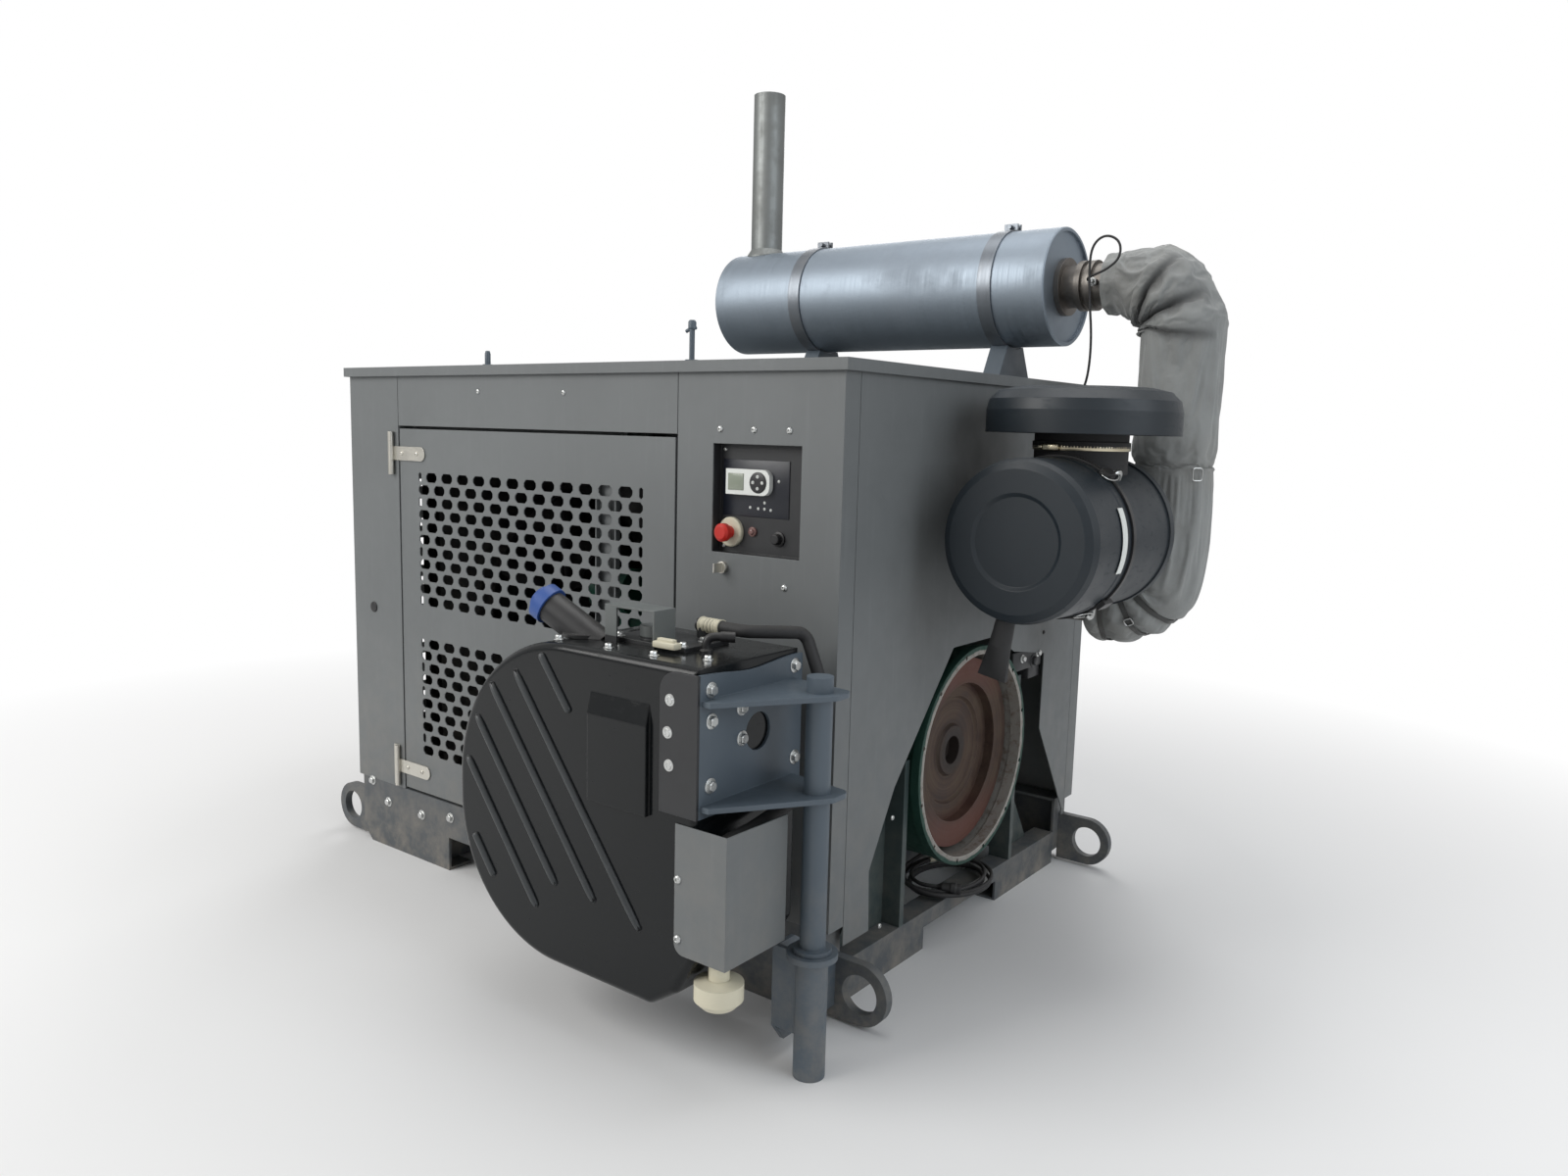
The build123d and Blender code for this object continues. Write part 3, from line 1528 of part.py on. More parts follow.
NODES = {
    "skid_rail_door_side": side_rail,
    "skid_rail_back_side": lambda: mirrored(side_rail()),
    "skid_end_beams": end_beams,
    "skid_cross_members": cross_members,
    "lifting_lug_near_drive": lambda: lifting_lug(1, -1),
    "lifting_lug_far_drive": lambda: lifting_lug(1, 1),
    "lifting_lug_near_radiator": lambda: lifting_lug(-1, -1),
    "lifting_lug_far_radiator": lambda: lifting_lug(-1, 1),
    "enclosure_posts": corner_posts,
    "left_side_panel": left_side_panel,
    "door_header": door_header,
    "control_side_panel": control_side_panel,
    "service_door": service_door,
    "door_hinge_leaves": hinge_fixed_leaves,
    "door_hinge_straps": hinge_straps,
    "control_panel": control_panel,
    "control_display": control_display,
    "stop_button": stop_button,
    "key_switch": key_switch,
    "drive_end_wall": drive_end_wall,
    "radiator_end_wall": radiator_end_wall,
    "radiator_louvres": radiator_louvres,
    "radiator_core": radiator_core,
    "roof_lid": roof_lid,
    "back_panels": back_panels,
    "back_service_panel": back_service_panel,
    "flywheel_housing": flywheel_housing,
    "flywheel": flywheel,
    "engine_block": engine_block,
    "engine_accessories": engine_accessories,
    "cooling_fan": cooling_fan,
    "engine_supports": engine_supports,
    "muffler_body": muffler_body,
    "muffler_bands": muffler_bands,
    "muffler_saddles": muffler_saddles,
    "exhaust_stack": exhaust_stack,
    "exhaust_pipe": exhaust_pipe,
    "insulated_elbow": insulated_elbow,
    "air_cleaner_cover": air_cleaner_cover,
    "air_cleaner_body": air_cleaner_body,
    "air_cleaner_clamp": air_cleaner_clamp,
    "air_cleaner_mount": air_cleaner_mount,
    "intake_neck": intake_neck,
    "rain_cap": rain_cap,
    "dust_valve": dust_valve,
    "pole_socket": pole_socket,
    "swing_pole": swing_pole,
    "tank_bracket": tank_bracket,
    "fluid_tank": fluid_tank,
    "tank_side_plate": tank_side_plate,
    "filler_neck": filler_neck,
    "filler_cap": filler_cap,
    "tank_header": tank_header,
    "tank_hose": tank_hose,
    "pump_cover": pump_cover,
    "filter_bowl": filter_bowl,
    "sensor_lead": sensor_lead,
    "cable_coil": cable_coil,
    "cable_lead": cable_lead,
}

os.makedirs("parts", exist_ok=True)
for name, make in NODES.items():
    export_step(make(), "parts/" + name + ".step")
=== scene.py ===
# %% [markdown]
# This scene dresses a diesel power unit: an engine in a grey sheet metal
# enclosure on a lifting skid, with a drum silencer on its roof, a black air
# cleaner at one end and a plastic fluid tank on a swinging pole. The solids
# come from the construction model, in metres and in place. The scene gives
# them their finishes and adds what a maker fastens on last: screws, cables,
# clamps, the quilted exhaust jacket and the instruments.

from math import atan2, cos, pi, radians, sin

import bmesh
import bpy
import numpy as np
from mathutils import Matrix, Vector


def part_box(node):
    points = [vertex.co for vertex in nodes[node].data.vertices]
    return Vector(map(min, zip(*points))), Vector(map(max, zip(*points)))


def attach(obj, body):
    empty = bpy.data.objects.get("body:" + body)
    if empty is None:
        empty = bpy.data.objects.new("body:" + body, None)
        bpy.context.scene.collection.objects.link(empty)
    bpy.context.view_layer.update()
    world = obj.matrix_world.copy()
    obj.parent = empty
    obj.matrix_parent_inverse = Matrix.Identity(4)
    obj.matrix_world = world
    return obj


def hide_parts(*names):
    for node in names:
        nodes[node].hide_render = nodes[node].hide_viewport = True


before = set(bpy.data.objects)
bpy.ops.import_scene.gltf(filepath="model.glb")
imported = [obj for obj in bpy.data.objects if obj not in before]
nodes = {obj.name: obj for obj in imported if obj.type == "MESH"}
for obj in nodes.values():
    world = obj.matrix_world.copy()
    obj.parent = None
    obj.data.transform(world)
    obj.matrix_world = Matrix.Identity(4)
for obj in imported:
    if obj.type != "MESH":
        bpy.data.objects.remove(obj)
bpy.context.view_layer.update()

# %% [markdown]
# The camera stands where the photographer stood: a little below the roof,
# at the corner between the service door and the drive end. Its place and turn
# were worked out from the straight edges of the enclosure. The rows below are
# the camera's right, up and forward directions, and Blender's camera looks
# along its own -Z, so forward is turned round.

# %% Camera
right = Vector((0.795302, 0.605684, 0.02531))
up = Vector((-0.102353, 0.09301, 0.99039))
forward = Vector((-0.59751, 0.79025, -0.135965))
lens_data = bpy.data.cameras.new("photo_camera")
lens_data.sensor_width = 36.0
lens_data.lens = 26.244
lens_data.clip_end = 100.0
camera = bpy.data.objects.new("photo_camera", lens_data)
turn = Matrix((right, up, -forward)).transposed()
camera.matrix_world = Matrix.Translation((2.15074, -2.5228, 1.24485)) @ turn.to_4x4()
bpy.context.scene.collection.objects.link(camera)
bpy.context.scene.camera = camera
print("camera at", [round(v, 3) for v in camera.location])

# %% [markdown]
# Every new piece is made the same way: numpy works out an array of points and
# one helper turns the array into a mesh. A grid of rows and columns becomes
# quads, and it can be closed round its columns, as a pipe is, with a fan of
# triangles over each end. The faces of a closed piece are turned outwards.

# %% Making meshes from arrays
sharp_angle = radians(38)


def mesh_piece(name, points, faces, outward=True):
    """Object with its place in its mesh, from a point array and face lists."""
    mesh = bpy.data.meshes.new(name)
    mesh.from_pydata(np.asarray(points, float).reshape(-1, 3).tolist(), [], faces)
    if outward:
        shell = bmesh.new()
        shell.from_mesh(mesh)
        bmesh.ops.remove_doubles(shell, verts=shell.verts, dist=1e-6)
        bmesh.ops.recalc_face_normals(shell, faces=shell.faces)
        shell.to_mesh(mesh)
        shell.free()
    mesh.polygons.foreach_set("use_smooth", np.full(len(mesh.polygons), True))
    mesh.set_sharp_from_angle(angle=sharp_angle)
    piece = bpy.data.objects.new(name, mesh)
    bpy.context.scene.collection.objects.link(piece)
    return piece


def vertex_places(mesh):
    """The places of a mesh's vertices, read into one array."""
    places = np.zeros(len(mesh.vertices) * 3)
    mesh.vertices.foreach_get("co", places)
    return places.reshape(-1, 3)


def grid_faces(rows, columns, closed, start=0):
    """Quads between neighbouring rows and columns, as index lists."""
    r = np.arange(rows - 1)[:, None]
    c = np.arange(columns if closed else columns - 1)[None, :]
    n = (c + 1) % columns
    quads = np.stack([r * columns + c, r * columns + n, (r + 1) * columns + n,
                      (r + 1) * columns + c], -1)
    return (quads.reshape(-1, 4) + start).tolist()


def capped_grid(points):
    """Points and faces of a closed tube of rows, with a fan over each end."""
    rows, columns = points.shape[:2]
    ends = np.stack([points[0].mean(0), points[-1].mean(0)])
    here = np.arange(columns)
    after = (here + 1) % columns
    centre, last = np.full(columns, rows * columns), (rows - 1) * columns
    fans = [*np.stack([after, here, centre], -1).tolist(),
            *np.stack([centre + 1, last + here, last + after], -1).tolist()]
    return np.concatenate([points.reshape(-1, 3), ends]), grid_faces(rows, columns, True) + fans


def square_frame(axis):
    """Two unit directions square to an axis and to each other."""
    axis = np.asarray(axis, float) / np.linalg.norm(axis)
    helper = np.array([0.0, 0, 1]) if abs(axis[2]) < 0.9 else np.array([1.0, 0, 0])
    side = np.cross(helper, axis)
    side /= np.linalg.norm(side)
    return side, np.cross(axis, side), axis


def turned(profile, origin, axis, sides=24):
    """Closed lathe shape from rows of height, radius and share of hexagon.

    A point is centre + height * axis + radius * (cos, sin). A share of hexagon
    divides the radius by the cosine of the angle from the nearest flat, so 1
    gives a six-sided nut and 0, or no third number, a round."""
    side, other, axis = square_frame(axis)
    height, radius, *sixes = np.asarray(profile, float).T[:, :, None]
    angle = np.arange(sides) * 2 * pi / sides
    flat = np.cos((angle + pi / 6) % (pi / 3) - pi / 6)
    share = sixes[0] if sixes else 0.0
    radius = radius * (1 - share + share * cos(pi / 6) / flat)
    ring = np.cos(angle)[:, None] * side + np.sin(angle)[:, None] * other
    return capped_grid(np.asarray(origin) + height[..., None] * axis + radius[..., None] * ring)


def joined(name, shapes, outward=True):
    """One piece from several (points, faces) pairs."""
    points, faces, start = [], [], 0
    for shape_points, shape_faces in shapes:
        shape_points = np.asarray(shape_points, float).reshape(-1, 3)
        points.append(shape_points)
        faces += [[i + start for i in face] for face in shape_faces]
        start += len(shape_points)
    return mesh_piece(name, np.concatenate(points), faces, outward)


def rounded_box(low, high, radius=0.002):
    """Box with rounded edges: a small cube's points pushed out from its core."""
    low, high = np.asarray(low, float), np.asarray(high, float)
    radius = min(radius, *(high - low) * 0.49)
    steps = np.array([-1.0, -0.55, 0.55, 1.0])
    u, v = np.meshgrid(steps, steps, indexing="ij")
    one = np.ones_like(u)
    sides = [(u, v, one), (v, u, -one), (v, one, u), (u, -one, v), (one, u, v), (-one, v, u)]
    cube = np.array([np.stack(side, -1) for side in sides])
    core = np.sign(cube) * (np.abs(cube) > 0.5)
    lean = cube * (np.abs(cube) > 0.9)
    push = lean / np.maximum(np.linalg.norm(lean, axis=-1, keepdims=True), 1e-9)
    half = (high - low) / 2 - radius
    points = (low + high) / 2 + core * half + push * radius
    faces = []
    for side in range(6):
        faces += grid_faces(4, 4, False, side * 16)
    return points, faces


def smooth_path(points, count):
    """Catmull-Rom line: each stretch blends its four nearest points by cubics."""
    p = np.asarray(points, float)
    p = np.concatenate([[2 * p[0] - p[1]], p, [2 * p[-1] - p[-2]]])
    t = np.linspace(0, len(p) - 3 - 1e-9, count)
    i, f = t.astype(int), (t % 1)[:, None]
    a, b, c, d = p[i], p[i + 1], p[i + 2], p[i + 3]
    return 0.5 * (2 * b + (c - a) * f + (2 * a - 5 * b + 4 * c - d) * f ** 2
                  + (3 * b - a - 3 * c + d) * f ** 3)


def path_frames(path):
    """Tangent and two square directions at each point, carried without twist."""
    tangent = np.gradient(path, axis=0)
    tangent /= np.linalg.norm(tangent, axis=1, keepdims=True)
    side, other, _ = square_frame(tangent[0])
    sides, others = [], []
    for t in tangent:
        side = side - t * (side @ t)
        side /= np.linalg.norm(side)
        sides.append(side)
        others.append(np.cross(t, side))
    return tangent, np.array(sides), np.array(others)


def carried_points(path, radius, sides=16):
    """Tube: path point + radius * (cos, sin) in the path's own frame.

    The radius is one number, one per path point, or one per point and side."""
    _, side, other = path_frames(path)
    angle = np.arange(sides) * 2 * pi / sides
    radius = np.atleast_2d(np.asarray(radius, float).T).T
    ring = (np.cos(angle)[None, :, None] * side[:, None]
            + np.sin(angle)[None, :, None] * other[:, None])
    return path[:, None] + radius[..., None] * ring


def tube(path, radius, sides=16):
    """Closed tube along a path."""
    return capped_grid(carried_points(path, radius, sides))

# %% [markdown]
# A surface is never one flat colour. Paint on sheet metal has a fine orange
# peel, slow changes of tone, dust that gathers low down and run marks. One
# helper builds that stack of noises in each material, and every finish sets
# its own colours and sizes. The pattern reads Object coordinates, so it stays
# on the piece when the door or the tank arm turns.

# %% Building materials
class Nodes:
    """Node tree: helper calls add a node and return its useful output."""

    def __init__(self, tree):
        self.tree = tree

    def add(self, kind, **settings):
        node = self.tree.nodes.new(kind)
        for key, value in settings.items():
            setattr(node, key, value)
        return node

    def feed(self, value, socket):
        if isinstance(value, bpy.types.NodeSocket):
            self.tree.links.new(value, socket)
        else:
            socket.default_value = value

    def span(self, value, low, high, to_low=0.0, to_high=1.0):
        """Straight line from one range of numbers to another, clamped."""
        node = self.add("ShaderNodeMapRange", clamp=True)
        self.feed(value, node.inputs["Value"])
        for key, number in zip(("From Min", "From Max", "To Min", "To Max"),
                               (low, high, to_low, to_high)):
            node.inputs[key].default_value = number
        return node.outputs["Result"]

    def math(self, operation, a, b=0.0):
        node = self.add("ShaderNodeMath", operation=operation)
        for value, socket in zip((a, b), node.inputs):
            self.feed(value, socket)
        return node.outputs["Value"]

    def times(self, a, b):
        return self.math("MULTIPLY", a, b)

    def vector(self, operation, a, b=None, out="Vector"):
        node = self.add("ShaderNodeVectorMath", operation=operation)
        self.feed(a, node.inputs[0])
        if b is not None:
            self.feed(b, node.inputs[1])
        return node.outputs[out]


class Finish(Nodes):
    """Material of one painted, cast, moulded or woven surface."""

    def __init__(self, name):
        self.material = bpy.data.materials.new(name)
        self.material.use_nodes = True
        super().__init__(self.material.node_tree)
        self.shader = self.tree.nodes["Principled BSDF"]
        self.place = self.add("ShaderNodeTexCoord").outputs["Object"]

    def stretched(self, scale, shift=(0, 0, 0)):
        node = self.add("ShaderNodeMapping")
        self.feed(self.place, node.inputs["Vector"])
        node.inputs["Scale"].default_value = scale
        node.inputs["Location"].default_value = shift
        return node.outputs["Vector"]

    def noise(self, scale, detail=4.0, rough=0.55, place=None):
        node = self.add("ShaderNodeTexNoise")
        self.feed(place or self.place, node.inputs["Vector"])
        for key, value in (("Scale", scale), ("Detail", detail), ("Roughness", rough)):
            node.inputs[key].default_value = value
        return node.outputs["Fac"]

    def wander(self, scale, detail, low, high):
        """Number that noise moves between two levels."""
        return self.span(self.noise(scale, detail), 0.3, 0.7, low, high)

    def ramp(self, value, *stops):
        node = self.add("ShaderNodeValToRGB")
        self.feed(value, node.inputs["Fac"])
        band = node.color_ramp
        for position, _ in stops[2:]:
            band.elements.new(position)
        for element, (position, colour) in zip(band.elements, stops):
            element.position = position
            tint = (colour,) * 3 if isinstance(colour, (int, float)) else colour
            element.color = (*tint, 1.0)
        return node.outputs["Color"]

    def patches(self, scale, detail, rough, low, high, place=None):
        """Noise cut into patches: 0 below one level of it, 1 above another."""
        return self.ramp(self.noise(scale, detail, rough, place), (low, 0.0), (high, 1.0))

    def mix(self, share, a, b):
        node = self.add("ShaderNodeMix", data_type="RGBA")
        self.feed(share, node.inputs[0])
        for value, socket in ((a, node.inputs[6]), (b, node.inputs[7])):
            self.feed((*value, 1.0) if isinstance(value, tuple) else value, socket)
        return node.outputs[2]

    def laid(self, tone, colour, mask, most):
        """A colour laid over a tone, as thick as a mask and a share allow."""
        return self.mix(self.times(mask, most), tone, colour)

    def axes(self, place=None):
        node = self.add("ShaderNodeSeparateXYZ")
        self.feed(place or self.place, node.inputs["Vector"])
        return node.outputs

    def distance(self, centre, keep=(1, 1, 1)):
        """Length from a centre, with the directions that count."""
        away = self.vector("SUBTRACT", self.place, centre)
        return self.vector("LENGTH", self.vector("MULTIPLY", away, keep), out="Value")

    def soft_normal(self, width):
        node = self.add("ShaderNodeBevel", samples=4)
        node.inputs["Radius"].default_value = width
        return node.outputs["Normal"]

    def relief(self, *layers, edge=0.0):
        """Bump layers (height, depth in metres, strength) over softened edges."""
        normal = self.soft_normal(edge) if edge else None
        for height, depth, strength in layers:
            node = self.add("ShaderNodeBump")
            self.feed(height, node.inputs["Height"])
            node.inputs["Distance"].default_value = depth
            node.inputs["Strength"].default_value = strength
            if normal is not None:
                self.feed(normal, node.inputs["Normal"])
            normal = node.outputs["Normal"]
        self.feed(normal, self.shader.inputs["Normal"])

    def edge_wear_and_highlight(self, width):
        """Bright where the softened normal leaves the flat one."""
        flat = self.add("ShaderNodeNewGeometry").outputs["Normal"]
        alike = self.vector("DOT_PRODUCT", self.soft_normal(width), flat, out="Value")
        return self.span(alike, 0.98, 0.80)

    def done(self, colour, rough, metal=0.0, **sockets):
        self.feed((*colour, 1.0) if isinstance(colour, tuple) else colour,
                  self.shader.inputs["Base Color"])
        self.feed(rough, self.shader.inputs["Roughness"])
        self.feed(metal, self.shader.inputs["Metallic"])
        for key, value in sockets.items():
            self.shader.inputs[key.replace("_", " ")].default_value = value
        return self.material


def shade(colour, factor):
    """The same colour, lighter or darker."""
    return tuple(min(1.0, c * factor) for c in colour)

# %% [markdown]
# Cables come before the rest, because their room decides how far the object
# spreads. The sensor lead leaves a boss on the silencer's inlet, rises in a
# small stiff loop and hangs down to a gland in the end wall. Its line is a
# NURBS curve with few control points, so it bends as evenly as real cable.

# %% Cables
def cable(name, points, diameter):
    """Round cable on a smooth spline through a few control points.

    The thickness is the bevel depth times each point's radius. The depth is
    one metre and the radius is the cable's own, because Blender widens the
    curve's bounding box by the points' radius."""
    curve = bpy.data.curves.new(name, "CURVE")
    curve.dimensions = "3D"
    curve.bevel_depth = 1.0
    curve.bevel_resolution = 3
    curve.resolution_u = 8
    curve.use_fill_caps = True
    spline = curve.splines.new("NURBS")
    spline.points.add(len(points) - 1)
    spline.points.foreach_set("co", np.c_[np.asarray(points, float), np.ones(len(points))].ravel())
    spline.points.foreach_set("radius", np.full(len(points), diameter / 2))
    spline.order_u = 3
    spline.use_endpoint_u = True
    piece = bpy.data.objects.new(name, curve)
    bpy.context.scene.collection.objects.link(piece)
    return piece


def cable_line(piece):
    """Points along a cable's own smooth line, from its curve without thickness."""
    thin = piece.data.copy()
    thin.bevel_depth = 0.0
    holder = bpy.data.objects.new("line_probe", thin)
    mesh = bpy.data.meshes.new_from_object(holder)
    line = vertex_places(mesh)
    bpy.data.objects.remove(holder)
    bpy.data.meshes.remove(mesh)
    bpy.data.curves.remove(thin)
    return line


def line_length(line):
    """Sum of the steps between neighbouring points."""
    return float(np.linalg.norm(np.diff(line, axis=0), axis=1).sum())


lead_start = Vector((0.985, 0.250, 1.632))
lead_offsets = [
    (0, 0, 0), (0, -36, 0), (26, -60, 5), (62, -58, 18), (95, -60, 43), (91, -58, 84),
    (53, -60, 101), (20, -57, 77), (18, -60, 20), (23, -57, -58), (31, -52, -140),
    (27, -46, -222), (12, -40, -272), (-24, -32, -310), (-72, -27, -328), (-124, -25, -332),
]
lead_points = [lead_start + Vector(offset) / 1000 for offset in lead_offsets]
sensor_cable = cable("sensor_cable", lead_points, 0.006)
lead_length = line_length(cable_line(sensor_cable))
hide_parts("sensor_lead")
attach(sensor_cable, "unit")
print("sensor cable length", round(lead_length, 3))

# %% [markdown]
# The harness coil is spare engine wiring that waits for the driven machine.
# It leaves the side of the sump, goes round behind the flywheel housing and
# lies on the end beam in loose turns. Each turn is a slightly different oval,
# and the turns lie beside and over one another without crossing hard. Its
# free end is a round connector that rests on the turns.

# %% Harness coil
coil_low, coil_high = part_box("cable_coil")
coil_middle = (coil_low + coil_high) / 2
harness_wire = 0.010
side_y = 0.127
end_x = coil_middle.x - 0.095
harness_lead = np.array([
    (end_x - 0.141, side_y, 0.270), (end_x - 0.141, side_y + 0.050, 0.270),
    (end_x - 0.111, side_y + 0.089, 0.256), (end_x - 0.056, side_y + 0.101, 0.228),
    (end_x - 0.001, side_y + 0.078, 0.192), (end_x + 0.021, side_y + 0.023, 0.164),
    (end_x + 0.009, side_y - 0.035, 0.151)])


def coil_points(turns, per_turn, start_angle, wire):
    """Oval spiral: the angle runs on, the radii and the height change slowly.

    The first half turn comes down from the lead, and later turns climb back."""
    t = np.linspace(0, turns, int(turns * per_turn) + 1)
    angle = start_angle + 2 * pi * t
    lap = 0.0125 * np.sin(2 * pi * t / turns * 1.7 + 0.9) + 0.0035 * np.sin(5.1 * t)
    long_radius = (coil_high.y - coil_low.y) / 2 - 0.0245 + lap
    short_radius = (coil_high.x - coil_low.x) / 2 - 0.0245 + lap
    drop = 0.034 * np.clip(1 - t / 0.7, 0, 1)
    height = coil_low.z + wire / 2 + 0.001 + drop + 0.0078 * np.maximum(t - 0.6, 0)
    return np.stack([coil_middle.x + short_radius * np.cos(angle),
                     coil_middle.y + long_radius * np.sin(angle), height], -1)


coil_route = np.concatenate([harness_lead, coil_points(4.35, 14, 3.05, harness_wire)])
harness = cable("harness_coil", coil_route, harness_wire)
harness_line = cable_line(harness)
tip, tip_way = harness_line[-1], harness_line[-1] - harness_line[-4]
connector_profile = [(-0.012, 0.0062), (-0.004, 0.0085), (0.0, 0.0125), (0.020, 0.0125),
                     (0.022, 0.0145), (0.034, 0.0145), (0.036, 0.0128), (0.046, 0.0128)]
connector = joined("harness_connector", [turned(connector_profile, tip, tip_way, 32)])
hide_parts("cable_coil", "cable_lead")
for piece in (harness, connector):
    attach(piece, "unit")

# %% [markdown]
# The sheet metal is powder coated in a middle grey. Its finish has a fine
# orange peel, slow patches of tone, faint vertical run marks and dust near
# the skid. The bevel node softens each bent edge, so the folds catch light.
# A lighter tone on each edge is rubbed paint and also a painted highlight.

# %% Paint on sheet metal and frame
def powder_coat(name, colour, rough=0.5, dust=0.35, dust_top=0.7, wear_and_highlight=0.25):
    """Coated steel: two tones, run marks, dust below, rubbed edges with a painted highlight."""
    f = Finish(name)
    tone = f.mix(f.patches(1.7, 5, 0.6, 0.35, 0.68), shade(colour, 0.93), shade(colour, 1.07))
    runs = f.patches(9, 3, 0.5, 0.56, 0.75, f.stretched((6, 6, 0.5)))
    tone = f.laid(tone, shade(colour, 1.35), runs, 0.16)
    low_down = f.span(f.axes()["Z"], dust_top, 0.0)
    dusty = f.times(low_down, f.patches(14, 6, 0.7, 0.40, 0.66))
    tone = f.laid(tone, (0.26, 0.235, 0.20), dusty, dust)
    # Lighter edges: rubbed paint, and also a painted highlight along each fold.
    tone = f.laid(tone, shade(colour, 1.9), f.edge_wear_and_highlight(0.0025), wear_and_highlight)
    f.relief((f.noise(420, 2), 0.00022, 0.35), (f.noise(6, 2), 0.0012, 0.12), edge=0.0022)
    return f.done(tone, f.wander(22, 4, rough - 0.06, rough + 0.08))


enclosure_paint = powder_coat("enclosure_powder_coat", (0.150, 0.160, 0.163))
frame_paint = powder_coat("frame_powder_coat", (0.084, 0.108, 0.132), 0.42, 0.45, 0.5, 0.35)
skid_paint = powder_coat("skid_powder_coat", (0.088, 0.097, 0.104), 0.55, 0.75, 0.28, 0.4)
# The supports take the lighter edge tone at nearly full share: a painted highlight along the plate
# edges.
support_paint = powder_coat("support_green_grey", (0.040, 0.058, 0.058), 0.45, 0.3, 0.5, 0.9)
black_paint = powder_coat("black_powder_coat", (0.022, 0.023, 0.025), 0.42, 0.2, 0.4)
radiator_black = powder_coat("radiator_black", (0.020, 0.021, 0.022), 0.6, 0.6, 1.4)
print("paints", enclosure_paint.name, frame_paint.name, skid_paint.name)

# %% [markdown]
# Bare metals come next. The silencer drum is aluminised sheet: bright, with
# fine marks round the drum and faint patches of brown stain. The
# clamping bands are duller. Hinges are brushed stainless steel.

# %% Bare metal
def bare_metal(name, colour, rough, grain, stained, stain=(0.20, 0.15, 0.11), patch=5.0,
               edge=0.0015):
    """Metal with stretched grain in its gloss and patches of stain."""
    f = Finish(name)
    lines = f.noise(1.0, 5, 0.6, f.stretched(grain))
    stains = f.patches(patch, 6, 0.65, 0.48, 0.72)
    tone = f.mix(lines, shade(colour, 0.86), shade(colour, 1.08))
    tone = f.laid(tone, stain, stains, stained)
    gloss = f.math("ADD", f.span(lines, 0.3, 0.7, rough - 0.07, rough + 0.09),
                   f.times(stains, 0.15))
    f.relief((lines, 0.0003, 0.25), (f.noise(4.0, 3), 0.004, 0.10), edge=edge)
    return f.done(tone, gloss, f.span(stains, 0.0, 1.0, 1.0, 1.0 - stained))


drum_metal = bare_metal("aluminised_drum", (0.290, 0.335, 0.385), 0.50, (420, 3, 3), 0.05)
band_metal = bare_metal("band_steel", (0.22, 0.24, 0.265), 0.40, (400, 4, 4), 0.20)
stack_metal = bare_metal("stack_steel", (0.250, 0.262, 0.258), 0.50, (140, 140, 4), 0.45,
                         (0.120, 0.118, 0.105), 7)
pipe_metal = bare_metal("hot_pipe_steel", (0.20, 0.185, 0.17), 0.45, (240, 5, 5), 0.5,
                        (0.10, 0.065, 0.045), 9)
stainless = bare_metal("brushed_stainless", (0.66, 0.64, 0.58), 0.33, (40, 40, 700), 0.08)
zinc = bare_metal("zinc_screws", (0.62, 0.63, 0.62), 0.30, (500, 500, 500), 0.15, edge=0)
clamp_metal = bare_metal("clamp_steel", (0.78, 0.70, 0.52), 0.25, (3, 3, 500), 0.1, edge=0)
print("metals", drum_metal.name, stainless.name)

# %% [markdown]
# Moulded plastics: the air cleaner and rain cap are matt black with a fine
# grain and a film of dust on top; the tank is smoother and glossier. Rubber
# is the dullest. Dust is found from the way a surface faces, straight up.

# %% Plastics and rubber
def moulded(name, colour, rough, grain=900, depth=0.0001, dust=0.25, edge=0.002, scuffs=0.15,
            shine=0.5):
    """Plastic: grain in the relief, scuffs in the gloss, dust on what faces up."""
    f = Finish(name)
    tone = f.mix(f.noise(3.5, 5), shade(colour, 0.85), shade(colour, 1.2))
    normal = f.add("ShaderNodeNewGeometry").outputs["Normal"]
    facing = f.span(f.axes(normal)["Z"], 0.35, 1.0)
    film = f.ramp(f.noise(11, 6, 0.7), (0.36, 0.25), (0.70, 1.0))
    dusty = f.times(f.times(facing, film), dust)
    tone = f.mix(dusty, tone, (0.21, 0.20, 0.185))
    marks = f.patches(30, 7, 0.75, 0.55, 0.72, f.stretched((1, 1, 3)))
    tone = f.laid(tone, shade(colour, 3.0), marks, scuffs * 0.5)
    dulled = f.times(f.math("ADD", dusty, f.times(marks, 0.4)), 0.5)
    f.relief((f.noise(grain, 2), depth, 0.4), (f.noise(5, 2), 0.0015, 0.15), edge=edge)
    return f.done(tone, f.math("ADD", f.wander(8, 4, rough - 0.04, rough + 0.06), dulled),
                  Specular_IOR_Level=shine)


tank_plastic = moulded("tank_plastic", (0.0050, 0.0062, 0.0070), 0.15, 260, 0.00003, 0.05,
                       0.005, 0.04, 0.30)
# Paler, dustier plastic for the rib beads: a painted highlight along the tank's rib crests.
rib_plastic_painted_highlight = moulded("tank_rib_crests_painted_highlight", (0.034, 0.038, 0.041), 0.30, 260, 0.00003, 0.20,
                      0.005, 0.3)
cleaner_plastic = moulded("air_cleaner_plastic", (0.0095, 0.0155, 0.0215), 0.44, 900, 0.00012,
                          0.05)
black_plastic = moulded("black_plastic", (0.014, 0.014, 0.015), 0.38)
rubber = moulded("black_rubber", (0.016, 0.016, 0.017), 0.62, 500, 0.0002, 0.3)
blue_plastic = moulded("blue_plastic", (0.030, 0.085, 0.300), 0.40, dust=0.15)
red_plastic = moulded("red_plastic", (0.55, 0.022, 0.014), 0.28, dust=0.15)
cream_plastic = moulded("cream_plastic", (0.66, 0.62, 0.48), 0.45, dust=0.2)
display_plastic = moulded("display_plastic", (0.76, 0.78, 0.75), 0.40, dust=0.1)
